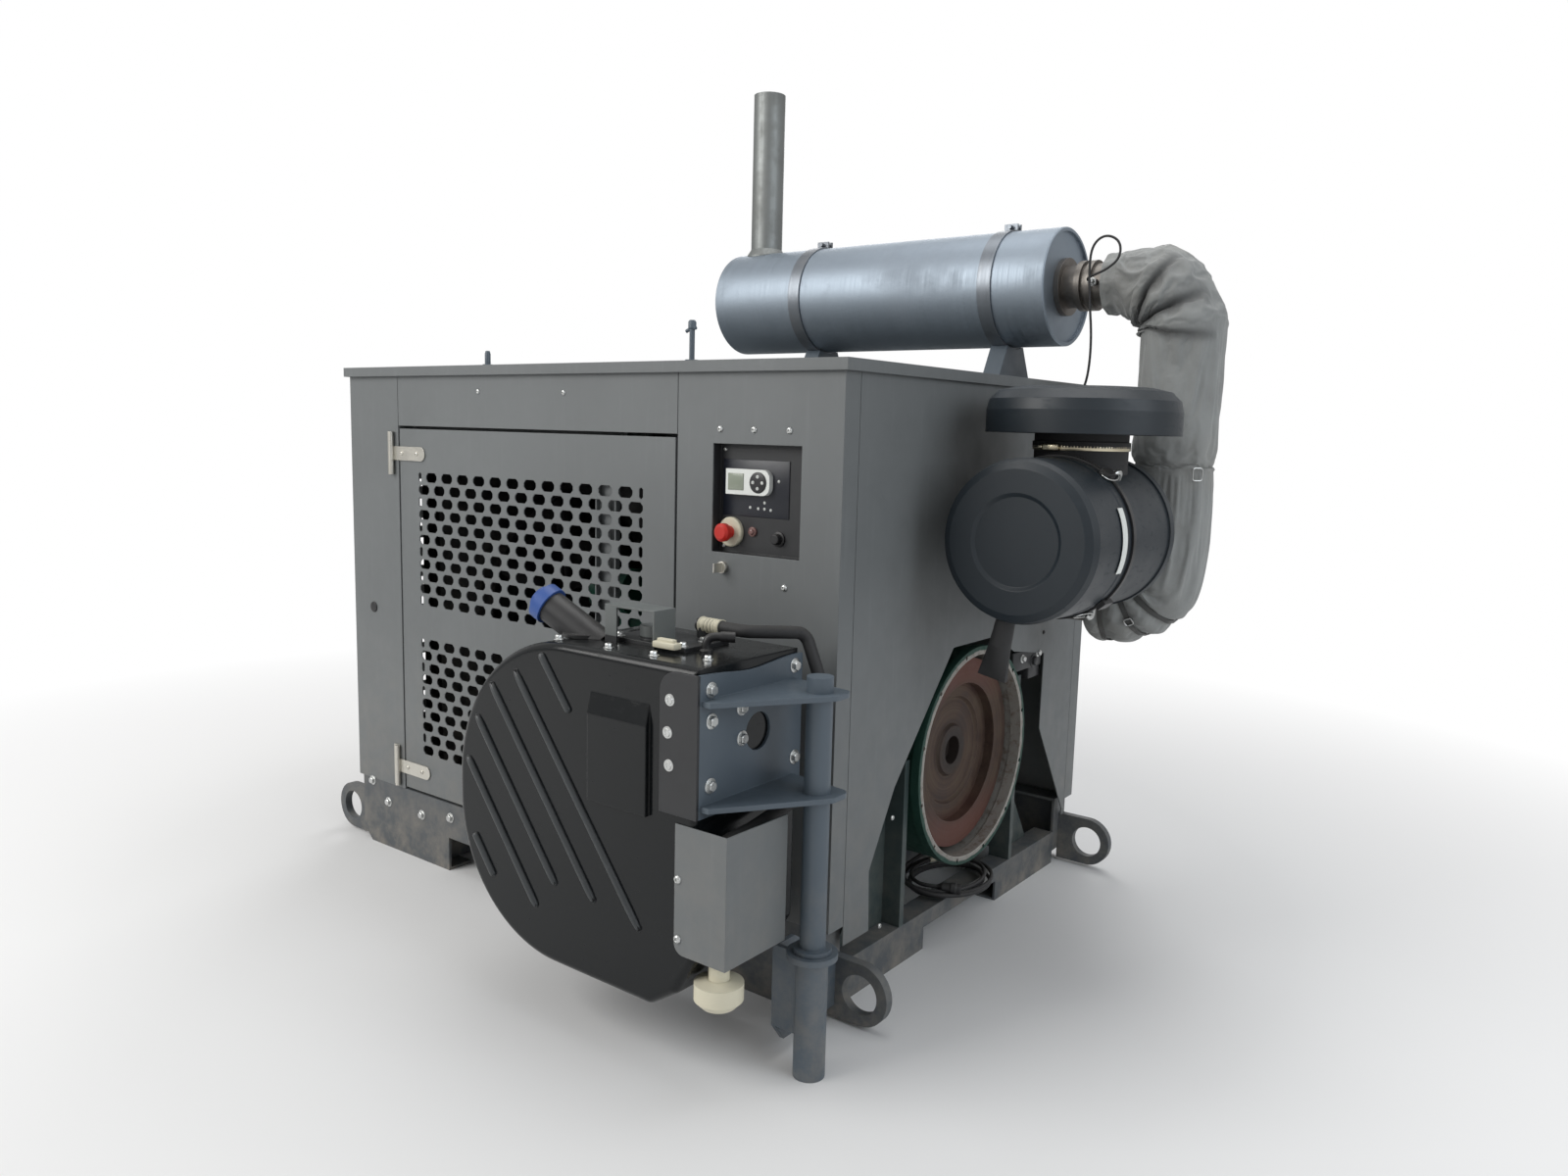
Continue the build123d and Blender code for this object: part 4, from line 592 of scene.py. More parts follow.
overlay_film = moulded("overlay_film", (0.008, 0.010, 0.017), 0.30, 1200, 0.00005, 0.12)
window_film = moulded("display_window", (0.270, 0.300, 0.240), 0.16, 1500, 0.00002, 0.1)
lamp_lens = moulded("lamp_lens", (0.20, 0.105, 0.095), 0.22, 1500, 0.00002, 0.1)
print("plastics", tank_plastic.name, cleaner_plastic.name)

# %% [markdown]
# The flywheel has surface rust in rings left by the lathe, from olive and tan
# to red brown, and darkens towards the hub. The distance from the shaft's
# line drives the rings. The housing is cast iron whose machined rim is pale
# under a thin film of oil and rust spots.

# %% Cast iron, rust and engine paint
shaft = (0.0, -0.013, 0.455)


def rusty_rings():
    """Rust whose tone follows the radius, redder above and below the hub."""
    f = Finish("flywheel_rust")
    radius = f.distance(shaft, (0, 1, 1))
    ring_place = f.add("ShaderNodeCombineXYZ")
    f.feed(radius, ring_place.inputs[0])
    rings = f.noise(85, 3, 0.7, ring_place.outputs["Vector"])
    blotches = f.noise(9, 7, 0.7)
    blend = f.math("ADD", f.times(rings, 0.45), f.times(blotches, 0.55))
    tone = f.ramp(blend, (0.34, (0.022, 0.014, 0.012)), (0.45, (0.055, 0.032, 0.024)),
                  (0.54, (0.085, 0.055, 0.038)), (0.66, (0.090, 0.075, 0.052)))
    upright = f.math("ABSOLUTE", f.math("SUBTRACT", f.axes()["Z"], shaft[2]))
    red = f.times(f.span(upright, 0.10, 0.20), f.span(radius, 0.15, 0.19))
    tone = f.laid(tone, (0.135, 0.052, 0.040), red, 0.75)
    tone = f.laid(tone, (0.018, 0.015, 0.014), f.span(radius, 0.085, 0.045), 0.8)
    f.relief((rings, 0.0008, 0.4), (blotches, 0.0009, 0.3), edge=0.002)
    return f.done(tone, f.span(blotches, 0.3, 0.7, 0.50, 0.80), 0.25)


def housing_casting():
    """Oily machined rim inside a radius, green paint outside it."""
    f = Finish("housing_casting")
    rough_cast = f.noise(55, 6, 0.65)
    tone = f.mix(f.noise(7, 5), (0.24, 0.225, 0.205), (0.40, 0.385, 0.355))
    tone = f.laid(tone, (0.110, 0.062, 0.040), f.patches(38, 7, 0.75, 0.50, 0.66), 0.7)
    tone = f.laid(tone, (0.70, 0.68, 0.63), f.edge_wear_and_highlight(0.003), 0.8)
    radius = f.math("ADD", f.distance(shaft, (0, 1, 1)), f.times(f.noise(24, 4), 0.012))
    green = f.mix(f.noise(12, 5), (0.012, 0.040, 0.031), (0.020, 0.075, 0.054))
    tone = f.mix(f.span(radius, 0.2705, 0.2735), tone, green)
    f.relief((rough_cast, 0.0010, 0.35), edge=0.002)
    return f.done(tone, f.span(rough_cast, 0.3, 0.7, 0.40, 0.66), 0.35)


def engine_paint():
    """Green paint under patches of grime, thin at its edges."""
    f = Finish("engine_green_paint")
    green = (0.011, 0.080, 0.052)
    tone = f.mix(f.noise(6, 5), shade(green, 0.7), shade(green, 1.25))
    grime = f.patches(16, 7, 0.72, 0.46, 0.64)
    tone = f.laid(tone, (0.020, 0.020, 0.018), grime, 0.6)
    tone = f.laid(tone, (0.20, 0.24, 0.20), f.edge_wear_and_highlight(0.003), 0.35)
    f.relief((f.noise(70, 5), 0.0010, 0.3), edge=0.003)
    return f.done(tone, f.span(grime, 0, 1, 0.36, 0.62))


def header_plate_finish():
    """Black flange and fittings low down, grey paint on the guard above them."""
    f = Finish("tank_header_finish")
    place = f.axes()
    sideways = f.math("MAXIMUM", f.span(place["Y"], -0.889, -0.890),
                      f.span(place["X"], 0.646, 0.645))
    on_guard = f.times(f.span(place["Z"], 0.8345, 0.8365), sideways)
    grey = f.mix(f.noise(9, 5), (0.10, 0.112, 0.112), (0.17, 0.182, 0.178))
    black = f.mix(f.noise(20, 5), (0.012, 0.013, 0.014), (0.026, 0.027, 0.029))
    tone = f.laid(f.mix(on_guard, black, grey), (0.30, 0.31, 0.30), f.edge_wear_and_highlight(0.0025), 0.35)
    f.relief((f.noise(400, 2), 0.0002, 0.35), edge=0.002)
    return f.done(tone, f.wander(18, 4, 0.34, 0.52))


header_finish, flywheel_rust = header_plate_finish(), rusty_rings()
housing_iron, engine_green = housing_casting(), engine_paint()
print("iron", flywheel_rust.name, housing_iron.name)

# %% [markdown]
# Each solid takes its finish here. A solid whose shape is right only gets a
# better material in its slot, and is never moved or changed.

# %% Finishes on the solids
finishes = {
    enclosure_paint: "left_side_panel door_header control_side_panel service_door "
                     "drive_end_wall radiator_end_wall radiator_louvres roof_lid back_panels "
                     "back_service_panel enclosure_posts pump_cover",
    frame_paint: "pole_socket swing_pole tank_bracket muffler_saddles",
    support_paint: "engine_supports",
    header_finish: "tank_header",
    skid_paint: "skid_rail_door_side skid_rail_back_side skid_end_beams skid_cross_members "
                "lifting_lug_near_drive lifting_lug_far_drive lifting_lug_near_radiator "
                "lifting_lug_far_radiator",
    black_paint: "control_panel tank_side_plate air_cleaner_mount",
    stainless: "door_hinge_leaves door_hinge_straps key_switch",
    drum_metal: "muffler_body",
    band_metal: "muffler_bands",
    stack_metal: "exhaust_stack",
    pipe_metal: "exhaust_pipe",
    tank_plastic: "fluid_tank",
    cleaner_plastic: "air_cleaner_cover air_cleaner_body rain_cap",
    black_plastic: "filler_neck cooling_fan air_cleaner_clamp",
    blue_plastic: "filler_cap",
    red_plastic: "stop_button",
    cream_plastic: "filter_bowl",
    display_plastic: "control_display",
    flywheel_rust: "flywheel",
    housing_iron: "flywheel_housing",
    engine_green: "engine_block engine_accessories",
    radiator_black: "radiator_core",
    rubber: "intake_neck dust_valve tank_hose sensor_lead cable_coil cable_lead "
            "insulated_elbow",
}


def give(piece, material):
    """Puts one material in all of a piece's slots."""
    if not piece.data.materials:
        piece.data.materials.append(material)
    for slot in piece.material_slots:
        slot.material = material
    return piece


def dressed(name, shapes, material, body="unit", outward=True):
    """New piece from its shapes, with its finish and its body."""
    piece = give(joined(name, shapes, outward), material)
    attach(piece, body)
    return piece


finished = set()
for material, names in finishes.items():
    for name in names.split():
        give(nodes[name], material)
        finished.add(name)
give(sensor_cable, rubber)
give(harness, rubber)
give(connector, black_plastic)
print("solids without a finish:", sorted(set(nodes) - finished))

# %% [markdown]
# The exhaust jacket is a soft blanket of glass cloth that is wrapped round the
# pipe and laced shut. The cloth is longer than the pipe's bend, so it folds
# on the inside of each turn, bulges between its ties and puckers where a tie
# draws it in. It starts as a tube carried along the pipe's line, and a cloth
# simulation then lets the slack fabric fall into its own folds over the pipe.

# %% Jacket: the pipe's line
jacket_y, top_z, low_z = 0.330, 1.632, 0.824
neck_x, drop_x, tail_x = 1.003, 1.195, 1.013
bend = 0.130


def jacket_line(count):
    """Straight, quarter turn, straight, quarter turn, straight, evenly spaced."""
    quarter = np.linspace(0, pi / 2, 40)
    start = np.linspace(neck_x, drop_x - bend, 30, endpoint=False)
    down = np.linspace(top_z - bend, low_z + bend, 80, endpoint=False)[1:]
    back = np.linspace(drop_x - bend, tail_x, 20)[1:]
    x = np.r_[start, drop_x - bend + bend * np.sin(quarter), np.full(len(down), drop_x),
              drop_x - bend + bend * np.cos(quarter), back]
    z = np.r_[np.full(len(start), top_z), top_z - bend + bend * np.cos(quarter), down,
              low_z + bend - bend * np.sin(quarter), np.full(len(back), low_z)]
    line = np.stack([x, np.full(len(x), jacket_y), z], -1)
    walked = np.r_[0, np.cumsum(np.linalg.norm(np.diff(line, axis=0), axis=1))]
    even = np.linspace(0, walked[-1], count)
    return np.stack([np.interp(even, walked, line[:, k]) for k in range(3)], -1), even


jacket_rows, jacket_sides = 300, 120
jacket_path, jacket_walk = jacket_line(jacket_rows)
jacket_length = jacket_walk[-1]
print("jacket line length", round(jacket_length, 3))

# %% [markdown]
# The tube's radius is a function of the distance walked along the pipe and of
# the angle round it. It widens from the narrow neck at the clamp, dips at each
# tie, and has folds on the inner side of the two bends. The places of the ties
# and of the upper bend's creases follow the photograph.

# %% Jacket: the cloth before it is slack
ties = np.array([0.030, 0.600, 0.916, 0.962, 1.018])
tie_depth = np.array([0.006, 0.002, 0.009, 0.010, 0.008])
creases = np.array([0.130, 0.198, 0.262, 0.450])
crease_depth = np.array([0.022, 0.028, 0.017, 0.004])
crease_width = np.array([0.0060, 0.0070, 0.0060, 0.0040])
crease_pull = np.array([0.040, 0.0, -0.036, 0.0])
deep_creases = 3

jacket_angles = np.arange(jacket_sides) * 2 * pi / jacket_sides
tangents, jacket_side, jacket_other = path_frames(jacket_path)


def angle_towards(way, row):
    """Angle round the jacket, at one row, of the side that faces a direction."""
    return float(atan2(way @ jacket_other[row], way @ jacket_side[row]))


bend_row = 60
inside_angle = angle_towards(np.array([-1.0, 0, -1.0]) / np.sqrt(2), bend_row) + pi
crease_angle = angle_towards(np.array([-0.55, -0.8, -0.55]), bend_row)


def hump(walk, centre, width):
    """Bell that is 1 at its centre."""
    return np.exp(-((walk - centre) / width) ** 2)


def inner_share(angle):
    """1 on the inside of the bends, 0 on their outside."""
    return np.clip(-np.cos(angle - inside_angle), 0, 1) ** 1.5


def crease_marks(walk, angle):
    """How far each place lies in each crease, from 0 to 1.

    The mark falls off across the crease, and from the side that faces the
    door to the far side. On the inside of the bend the creases run together,
    each moved along by its own pull."""
    w, a = walk[:, None], angle[None, :]
    near = np.clip(0.25 + 0.75 * np.cos(a - crease_angle), 0, 1)
    lean = w + 0.010 * np.sin(a - crease_angle)
    off = lean[..., None] - creases - crease_pull * inner_share(a)[..., None]
    return hump(off, 0, crease_width) * near[..., None]


def jacket_radius(walk, angle):
    """Neck blend, minus a narrow dip at each tie and crease, plus folds.

    The corner of the upper bend is filled by a broad swelling on its
    outside, and the cloth bulges like a pillow between its creases."""
    w, a = walk[:, None], angle[None, :]
    neck = 0.073 + 0.024 * np.clip((w - 0.01) / 0.10, 0, 1) ** 0.8
    end = 1 - 0.16 * np.clip((w - jacket_length + 0.05) / 0.05, 0, 1) ** 2
    dips = sum(depth * hump(w, tie, 0.012) for tie, depth in zip(ties, tie_depth))
    swell = 0.0025 * np.cos(2 * pi * w / 0.13 + 0.7 * np.cos(a))
    bends = hump(w, 0.165, 0.085) + hump(w, 0.915, 0.095)
    folds = bends * inner_share(a) * 0.009 * np.cos(2 * pi * w / 0.042 + 1.3 * np.sin(2 * a))
    puckers = 0.0018 * np.sin(9 * a + 24 * w) * np.sin(37 * w + 3 * np.cos(a))
    outer = np.clip(np.cos(a - inside_angle), 0, 1) ** 2
    corner = 0.004 * outer * hump(w, 0.170, 0.055)
    pillow = 0.005 * hump(w, 0.165, 0.016) + 0.005 * hump(w, 0.232, 0.016)
    cuts = crease_marks(walk, angle) @ crease_depth
    return (neck + swell + puckers + folds + corner + pillow) * end - dips - cuts


radius = jacket_radius(jacket_walk, jacket_angles)
jacket_points = carried_points(jacket_path, radius, jacket_sides)
jacket = mesh_piece("exhaust_jacket", jacket_points, grid_faces(jacket_rows, jacket_sides, True),
                    outward=False)
row_of = np.arange(jacket_rows - 1)[:, None, None] + [0, 0, 1, 1]
column_of = np.arange(jacket_sides)[:, None] + [0, 1, 1, 0]
girth = 2 * pi * 0.1
uv = np.stack(np.broadcast_arrays(jacket_walk[row_of], column_of / jacket_sides * girth), -1)
jacket.data.uv_layers.new(name="cloth").data.foreach_set("uv", uv.ravel())
# Painted shade for the deep creases, kept per point as the crease attribute.
crease_shade = crease_marks(jacket_walk, jacket_angles)[..., :deep_creases].max(2) ** 0.22
jacket.data.attributes.new("crease", "FLOAT", "POINT").data.foreach_set("value", crease_shade.ravel())
print("jacket quads", len(jacket.data.polygons))

# %% [markdown]
# The simulation: the cloth is told to grow by a few percent, so it is slack,
# and it is held at its ends, under each tie and in the deep creases. A smooth
# tube a little thinner than the blanket stands inside as the padding that it
# can't enter. No point may leave its start by more than a set distance, which
# keeps the jacket in the room of its solid. The result becomes the mesh.

# %% Jacket: slack cloth
cloth_settings = {
    "quality": 6, "mass": 0.25, "tension_stiffness": 18, "compression_stiffness": 18,
    "shear_stiffness": 8, "bending_stiffness": 0.6, "shrink_min": -0.05, "use_pressure": True,
    "uniform_pressure_force": 0.6, "vertex_group_mass": "held", "pin_stiffness": 4.0,
}


def slacken(piece, rest_points, core_points, held, limit=0.012, frames=22):
    """Cloth run on a grown fabric round a core; new place = rest + capped move."""
    core = mesh_piece("jacket_core", core_points, grid_faces(*core_points.shape[:2], True),
                      outward=False)
    core.modifiers.new("solid", "COLLISION")
    core.collision.thickness_outer = 0.002
    group = piece.vertex_groups.new(name="held")
    for weight in np.unique(held[held > 0]):
        group.add(np.flatnonzero(held == weight).tolist(), float(weight), "REPLACE")
    cloth = piece.modifiers.new("cloth", "CLOTH")
    for key, value in cloth_settings.items():
        setattr(cloth.settings, key, value)
    cloth.settings.effector_weights.gravity = 0.35
    cloth.collision_settings.distance_min = 0.002
    cloth.collision_settings.use_self_collision = False
    scene = bpy.context.scene
    for number in range(1, frames + 1):
        scene.frame_set(number)
    shown = piece.evaluated_get(bpy.context.evaluated_depsgraph_get())
    shift = vertex_places(shown.data) - rest_points
    scene.frame_set(1)
    piece.modifiers.remove(cloth)
    piece.vertex_groups.remove(group)
    bpy.data.objects.remove(core)
    far = np.linalg.norm(shift, axis=1, keepdims=True)
    shift *= np.minimum(1, limit / np.maximum(far, 1e-9))
    piece.data.vertices.foreach_set("co", (rest_points + shift).ravel())
    piece.data.update()
    return float(far.max()), float(far.mean())


core_tube = carried_points(jacket_path, radius - 0.012, jacket_sides)[::2, ::3]
held_lines = np.r_[ties, creases[:deep_creases]]
tied = hump(jacket_walk[:, None], held_lines, 0.008).max(1)
tied[[0, 1, -1, -2]] = 1.0
held_share = np.round(np.repeat(np.where(tied > 0.3, tied, 0), jacket_sides), 1)
print("cloth moved, most and mean",
      slacken(jacket, jacket_points.reshape(-1, 3), core_tube, held_share))
solidify = jacket.modifiers.new("blanket", "SOLIDIFY")
solidify.thickness = 0.006
solidify.offset = -1
smoother = jacket.modifiers.new("finer", "SUBSURF")
smoother.levels = smoother.render_levels = 1
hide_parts("insulated_elbow")
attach(jacket, "unit")

# %% [markdown]
# The cloth of the jacket is a plain weave of glass yarn with a grey coating.
# The weave reads the jacket's own UV map, whose numbers are metres along and
# round the cloth, so the threads keep their size in the folds. Heat and hands
# have left warm brown and sooty patches. The creases are darkened with painted
# shade, by an attribute of the mesh that says how deep each place lies in them.

# %% Jacket cloth and its ties
def glass_cloth(name, colour, thread=0.0024, quilting=0.157):
    """Plain weave: sine of the warp times sine of the weft, over a soft quilt."""
    f = Finish(name)
    across = f.axes(f.add("ShaderNodeUVMap", uv_map="cloth").outputs["UV"])
    warp = f.math("SINE", f.times(across["X"], 2 * pi / thread))
    weft = f.math("SINE", f.times(across["Y"], 2 * pi / thread))
    weave = f.times(warp, weft)
    quilt = f.math("ABSOLUTE", f.math("SINE", f.times(across["Y"], pi / quilting)))
    quilt = f.math("POWER", quilt, 0.25)
    tone = f.mix(f.noise(5, 6, 0.65), shade(colour, 0.80), shade(colour, 1.16))
    soot = f.patches(7, 7, 0.7, 0.50, 0.70, f.stretched((1, 1, 0.6)))
    tone = f.laid(tone, (0.085, 0.080, 0.072), soot, 0.30)
    warm = f.patches(3.1, 4, 0.6, 0.55, 0.7, f.stretched((1, 1, 1), (3, 1, 2)))
    tone = f.laid(tone, (0.215, 0.190, 0.155), warm, 0.30)
    tone = f.laid(tone, shade(colour, 0.5), f.span(weave, -1, 0.2, 1, 0), 0.16)
    # Painted shade: the cloth goes nearly black where the crease attribute is high.
    crease = f.add("ShaderNodeAttribute", attribute_name="crease").outputs["Fac"]
    tone = f.laid(tone, (0.030, 0.031, 0.032), crease, 0.80)
    f.relief((quilt, 0.0030, 0.35), (f.noise(28, 5, 0.6), 0.003, 0.35), (weave, 0.0004, 0.4))
    return f.done(tone, f.span(f.noise(40, 3), 0.3, 0.7, 0.62, 0.85), Sheen_Weight=0.25,
                  Sheen_Roughness=0.5)


give(jacket, glass_cloth("jacket_glass_cloth", (0.275, 0.285, 0.280)))


def jacket_place(walk, angles):
    """Point, tangent, outward directions and radii at a distance along the jacket."""
    index = int(np.searchsorted(jacket_walk, walk))
    out = (np.cos(angles)[:, None] * jacket_side[index]
           + np.sin(angles)[:, None] * jacket_other[index])
    return (jacket_path[index], tangents[index], out,
            jacket_radius(jacket_walk[index:index + 1], angles)[0])


def tie_band(walk, width=0.013, thick=0.0022, lift=0.0035):
    """Flat strap: rectangle profile swept round the jacket's own section."""
    point, tangent, out, around = jacket_place(walk, jacket_angles)
    along = np.array([-1, -1, 1, 1]) * width / 2
    high = np.array([0, thick, thick, 0]) + lift
    wobble = 0.002 * np.sin(3 * jacket_angles + walk * 40)
    points = (point + (along + wobble[:, None])[..., None] * tangent
              + (around[:, None] + high)[..., None] * out[:, None])
    faces = np.array(grid_faces(jacket_sides + 1, 4, True)) % (jacket_sides * 4)
    return points, faces.tolist()


def buckle(walk, angle, long=0.030, wide=0.026, lift=0.009):
    """Small wire frame on a strap: a squared circle, each axis to the power 0.4."""
    point, tangent, out, around = jacket_place(walk, np.array([angle]))
    turn = np.linspace(0, 2 * pi, 33)
    turn[-1] = 0
    c, s = np.cos(turn), np.sin(turn)
    line = (point + (around[0] + lift) * out[0]
            + (np.sign(c) * np.abs(c) ** 0.4 * long / 2)[:, None] * tangent
            + (np.sign(s) * np.abs(s) ** 0.4 * wide / 2)[:, None] * np.cross(tangent, out[0]))
    return tube(line, 0.0016, 8)


straps = dressed("jacket_straps", [tie_band(walk) for walk in ties[2:]],
                 glass_cloth("jacket_strap_webbing", (0.070, 0.072, 0.070)),
                 outward=False)
corner_index = np.zeros(len(straps.data.loops), int)
straps.data.loops.foreach_get("vertex_index", corner_index)
x, y, z = vertex_places(straps.data)[corner_index].T
straps.data.uv_layers.new(name="cloth").data.foreach_set("uv", np.stack([x + z, y], -1).ravel())
front_angle = angle_towards(np.array([0, -1, 0]), 150)
dressed("jacket_buckles", [buckle(ties[1], front_angle - 0.9),
                           buckle(ties[3], front_angle - 0.5, 0.020, 0.018)], zinc)
print("jacket ties", len(ties))

# %% [markdown]
# Fasteners are the smallest parts of the unit and the first thing the eye
# checks. A hexagon bolt is a round washer whose upper rows pass over to six
# sides, a button head is a low dome with a six-sided socket, and a low dome is
# a flanged head for the side plate, whose face is the widest point of the
# unit. Each group is one mesh, so it stays one piece.

# %% Bolts and screws
door_way, drive_way, upwards = (0, -1, 0), (1, 0, 0), (0, 0, 1)
front_face, end_face, panel_face, roof_top, tank_top = -0.630, 0.860, -0.603, 1.392, 0.822
rail_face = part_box("skid_rail_door_side")[0].y


def hex_bolt(place, axis, across, tall=0.009):
    """Round washer rows, then head rows on six sides."""
    r = across / 2
    return turned([(-0.001, 1.42 * r, 0), (0.15 * tall, 1.42 * r, 0), (0.20 * tall, 1.34 * r, 0),
                   (0.20 * tall, r, 1), (0.86 * tall, r, 1), (tall, 0.82 * r, 0.5)], place, axis)


def button_head(place, axis, radius):
    """Half an ellipse in height over a round foot, with a socket in its crown."""
    rows = np.array([(-0.10, 1.0, 0), (0.12, 1.0, 0), (0.38, 0.86, 0), (0.54, 0.62, 0),
                     (0.58, 0.42, 0), (0.52, 0.38, 1), (0.24, 0.36, 1)])
    return turned(rows * (radius, radius, 1), place, axis)


def low_dome(place, axis, across, tall=0.0037):
    """Flanged head: a round foot, a flat dome and a hollow crown."""
    rows = np.array([(-0.3, 1.0), (0.18, 1.0), (0.40, 0.94), (0.46, 0.72), (0.84, 0.66),
                     (1.0, 0.52), (0.96, 0.40), (0.62, 0.34)])
    return turned(rows * (tall, across / 2), place, axis, 30)


def fasteners(name, places, axis, size, head=button_head, material=zinc, body="unit"):
    """One mesh of equal heads at the given places."""
    print(name, len(places))
    return dressed(name, [head(place, axis, size) for place in places], material, body=body)


def on_front(name, y, size, *x_and_z, **options):
    """Equal heads on a wall that faces the door side."""
    return fasteners(name, [(x, y, z) for x, z in x_and_z], door_way, size, **options)


def front_disc(name, x, z, profile, material, y=panel_face, sides=40):
    """Lathe piece that stands on a wall and faces the door side."""
    return dressed(name, [turned(profile, (x, y, z), door_way, sides)], material)


hinge_rows = (1.157, 0.262)
on_front("header_screws", front_face, 0.0065, (-0.282, 1.326), (0.041, 1.323))
on_front("control_screws", front_face, 0.0075, (0.537, 1.246), (0.630, 1.246), (0.724, 1.246),
         (0.720, 0.919))
on_front("rail_bolts", rail_face, 0.020, (-0.793, 0.187), (-0.715, 0.137), (-0.554, 0.134),
         (-0.423, 0.155), head=hex_bolt)
on_front("strap_screws", front_face - 0.0039, 0.0062,
         *[(x, z) for z in hinge_rows for x in (-0.612, -0.545)], material=stainless, body="door")
on_front("leaf_screws", front_face - 0.0036, 0.0050,
         *[(-0.6685, z + rise) for z in hinge_rows for rise in (-0.040, 0.040)],
         material=stainless)
fasteners("end_wall_screws", [(end_face, -0.390, 0.389), (end_face, -0.428, 0.146)], drive_way,
          0.006)
fasteners("end_wall_plug", [(end_face, 0.366, 0.718)], drive_way, 0.006, material=black_plastic)
front_disc("post_plug", -0.766, 0.711, [(-0.001, 0.0155), (0.0015, 0.0155), (0.0032, 0.0138),
                                        (0.0038, 0.0060)], black_plastic,
           front_face)
on_front("side_plate_bolts", -1.036, 0.023, (0.775, 0.759), (0.770, 0.698), (0.774, 0.637),
         head=low_dome, body="tank_arm")
web_places = [(-1.000, 0.782), (-0.998, 0.724), (-0.999, 0.604), (-0.912, 0.734),
              (-0.910, 0.675), (-0.750, 0.790), (-0.745, 0.604)]
fasteners("bracket_bolts", [(0.842, y, z) for y, z in web_places], drive_way, 0.021, hex_bolt,
          body="tank_arm")
on_front("pump_cover_screws", -1.033, 0.0085, (0.797, 0.425), (0.798, 0.310), body="tank_arm")
flange_top = tank_top + 0.008
fasteners("tank_top_bolts", [
    (0.440, -1.000, tank_top), (0.575, -0.995, tank_top), (0.690, -0.990, tank_top),
    (0.690, -0.850, flange_top), (0.530, -0.920, flange_top), (0.697, -0.917, flange_top),
    (0.790, -0.950, tank_top)], upwards, 0.015, hex_bolt, body="tank_arm")

# %% [markdown]
# The tank's ribs catch a long bright line of light in the photograph, because
# their crests are round. A bead with a half-elliptic section lies over each
# rib of the solid, from the same starting points, lengths and slope. The beads
# are a paler plastic than the tank: a painted highlight along each crest.

# %% Rounded ribs of the tank
tank_left, tank_front = 0.152, -1.030
rib_slope = radians(51.76)
rib_starts = [(0.267, 0.027, 0.137), (0.187, 0.070, 0.584), (0.111, 0.108, 0.506),
              (0.064, 0.185, 0.401), (0.033, 0.281, 0.358), (0.054, 0.449, 0.103)]
rib_way = np.array([cos(rib_slope), 0.0, -sin(rib_slope)])
rib_side = np.array([sin(rib_slope), 0.0, cos(rib_slope)])


def rib_bead(x, z, length, half_width=0.0078, rise=0.0086):
    """Half ellipse over the width, whose size fades to nothing at both ends."""
    start = np.array([tank_left + x, tank_front, tank_top - z])
    along = length * (0.5 - 0.5 * np.cos(np.linspace(0, pi, 34)))
    ends = np.sqrt(np.clip(1 - (np.abs(along / length - 0.5) * 2) ** 24, 0, 1))[:, None]
    angle = np.linspace(0, pi, 15)
    grid = (start + along[:, None, None] * rib_way
            + (ends * half_width * np.cos(angle))[..., None] * rib_side
            + (ends * rise * np.sin(angle) - 0.0002)[..., None] * np.array(door_way))
    under = grid[:, ::-1][:, 1:-1] * (1, 0, 1) + (0, tank_front + 0.001, 0)
    return capped_grid(np.concatenate([grid, under], axis=1))


dressed("tank_ribs", [rib_bead(*rib) for rib in rib_starts], rib_plastic_painted_highlight,
        "tank_arm")
print("tank ribs", len(rib_starts))

# %% [markdown]
# The tank's header is busy in the photograph: a pale socket of the level
# sensor's plug, a ribbed sleeve where the hose begins and a second short
# elbow. The sleeve is a lathe piece whose radius rises and falls in six ribs.

# %% Fittings on the tank
def ribbed_sleeve(start, axis, length=0.052, radius=0.0150, ribs=6):
    """Radius = mean + a ripple of the height, with a plain collar at each end."""
    height = np.linspace(0, length, ribs * 8 + 1)
    ripple = 0.0012 * np.sin(2 * pi * ribs * height / length) * np.sin(pi * height / length) ** 0.3
    collar = 0.0016 * (np.abs(height - length / 2) > 0.44 * length)
    return turned(np.c_[height, radius + ripple + collar], start, axis, 40)


dressed("hose_sleeve", [ribbed_sleeve((0.656, -0.815, 0.856), drive_way)], cream_plastic,
        "tank_arm")
dressed("sensor_plug", [rounded_box((0.654, -0.958, 0.829), (0.712, -0.936, 0.842), 0.003),
                        rounded_box((0.662, -0.953, 0.841), (0.704, -0.941, 0.848), 0.002)],
        cream_plastic, "tank_arm")
elbow_line = smooth_path([(0.742, -0.900, 0.820), (0.742, -0.900, 0.842),
                          (0.752, -0.892, 0.853), (0.785, -0.866, 0.853)], 28)
elbow_radius = np.interp(np.arange(28), [0, 3, 4, 21, 22, 27],
                         [0.013, 0.013, 0.0085, 0.0085, 0.0105, 0.0105])
dressed("tank_elbow", [tube(elbow_line, elbow_radius, 24)], black_plastic,
        "tank_arm")

# %% [markdown]
# The control panel is a shallow black tray. On its film lie a module with a
# grey-green window and a round key pad, a row of small lamps, a pilot lamp and
# a knob, and the red stop button stands on a cream disc.

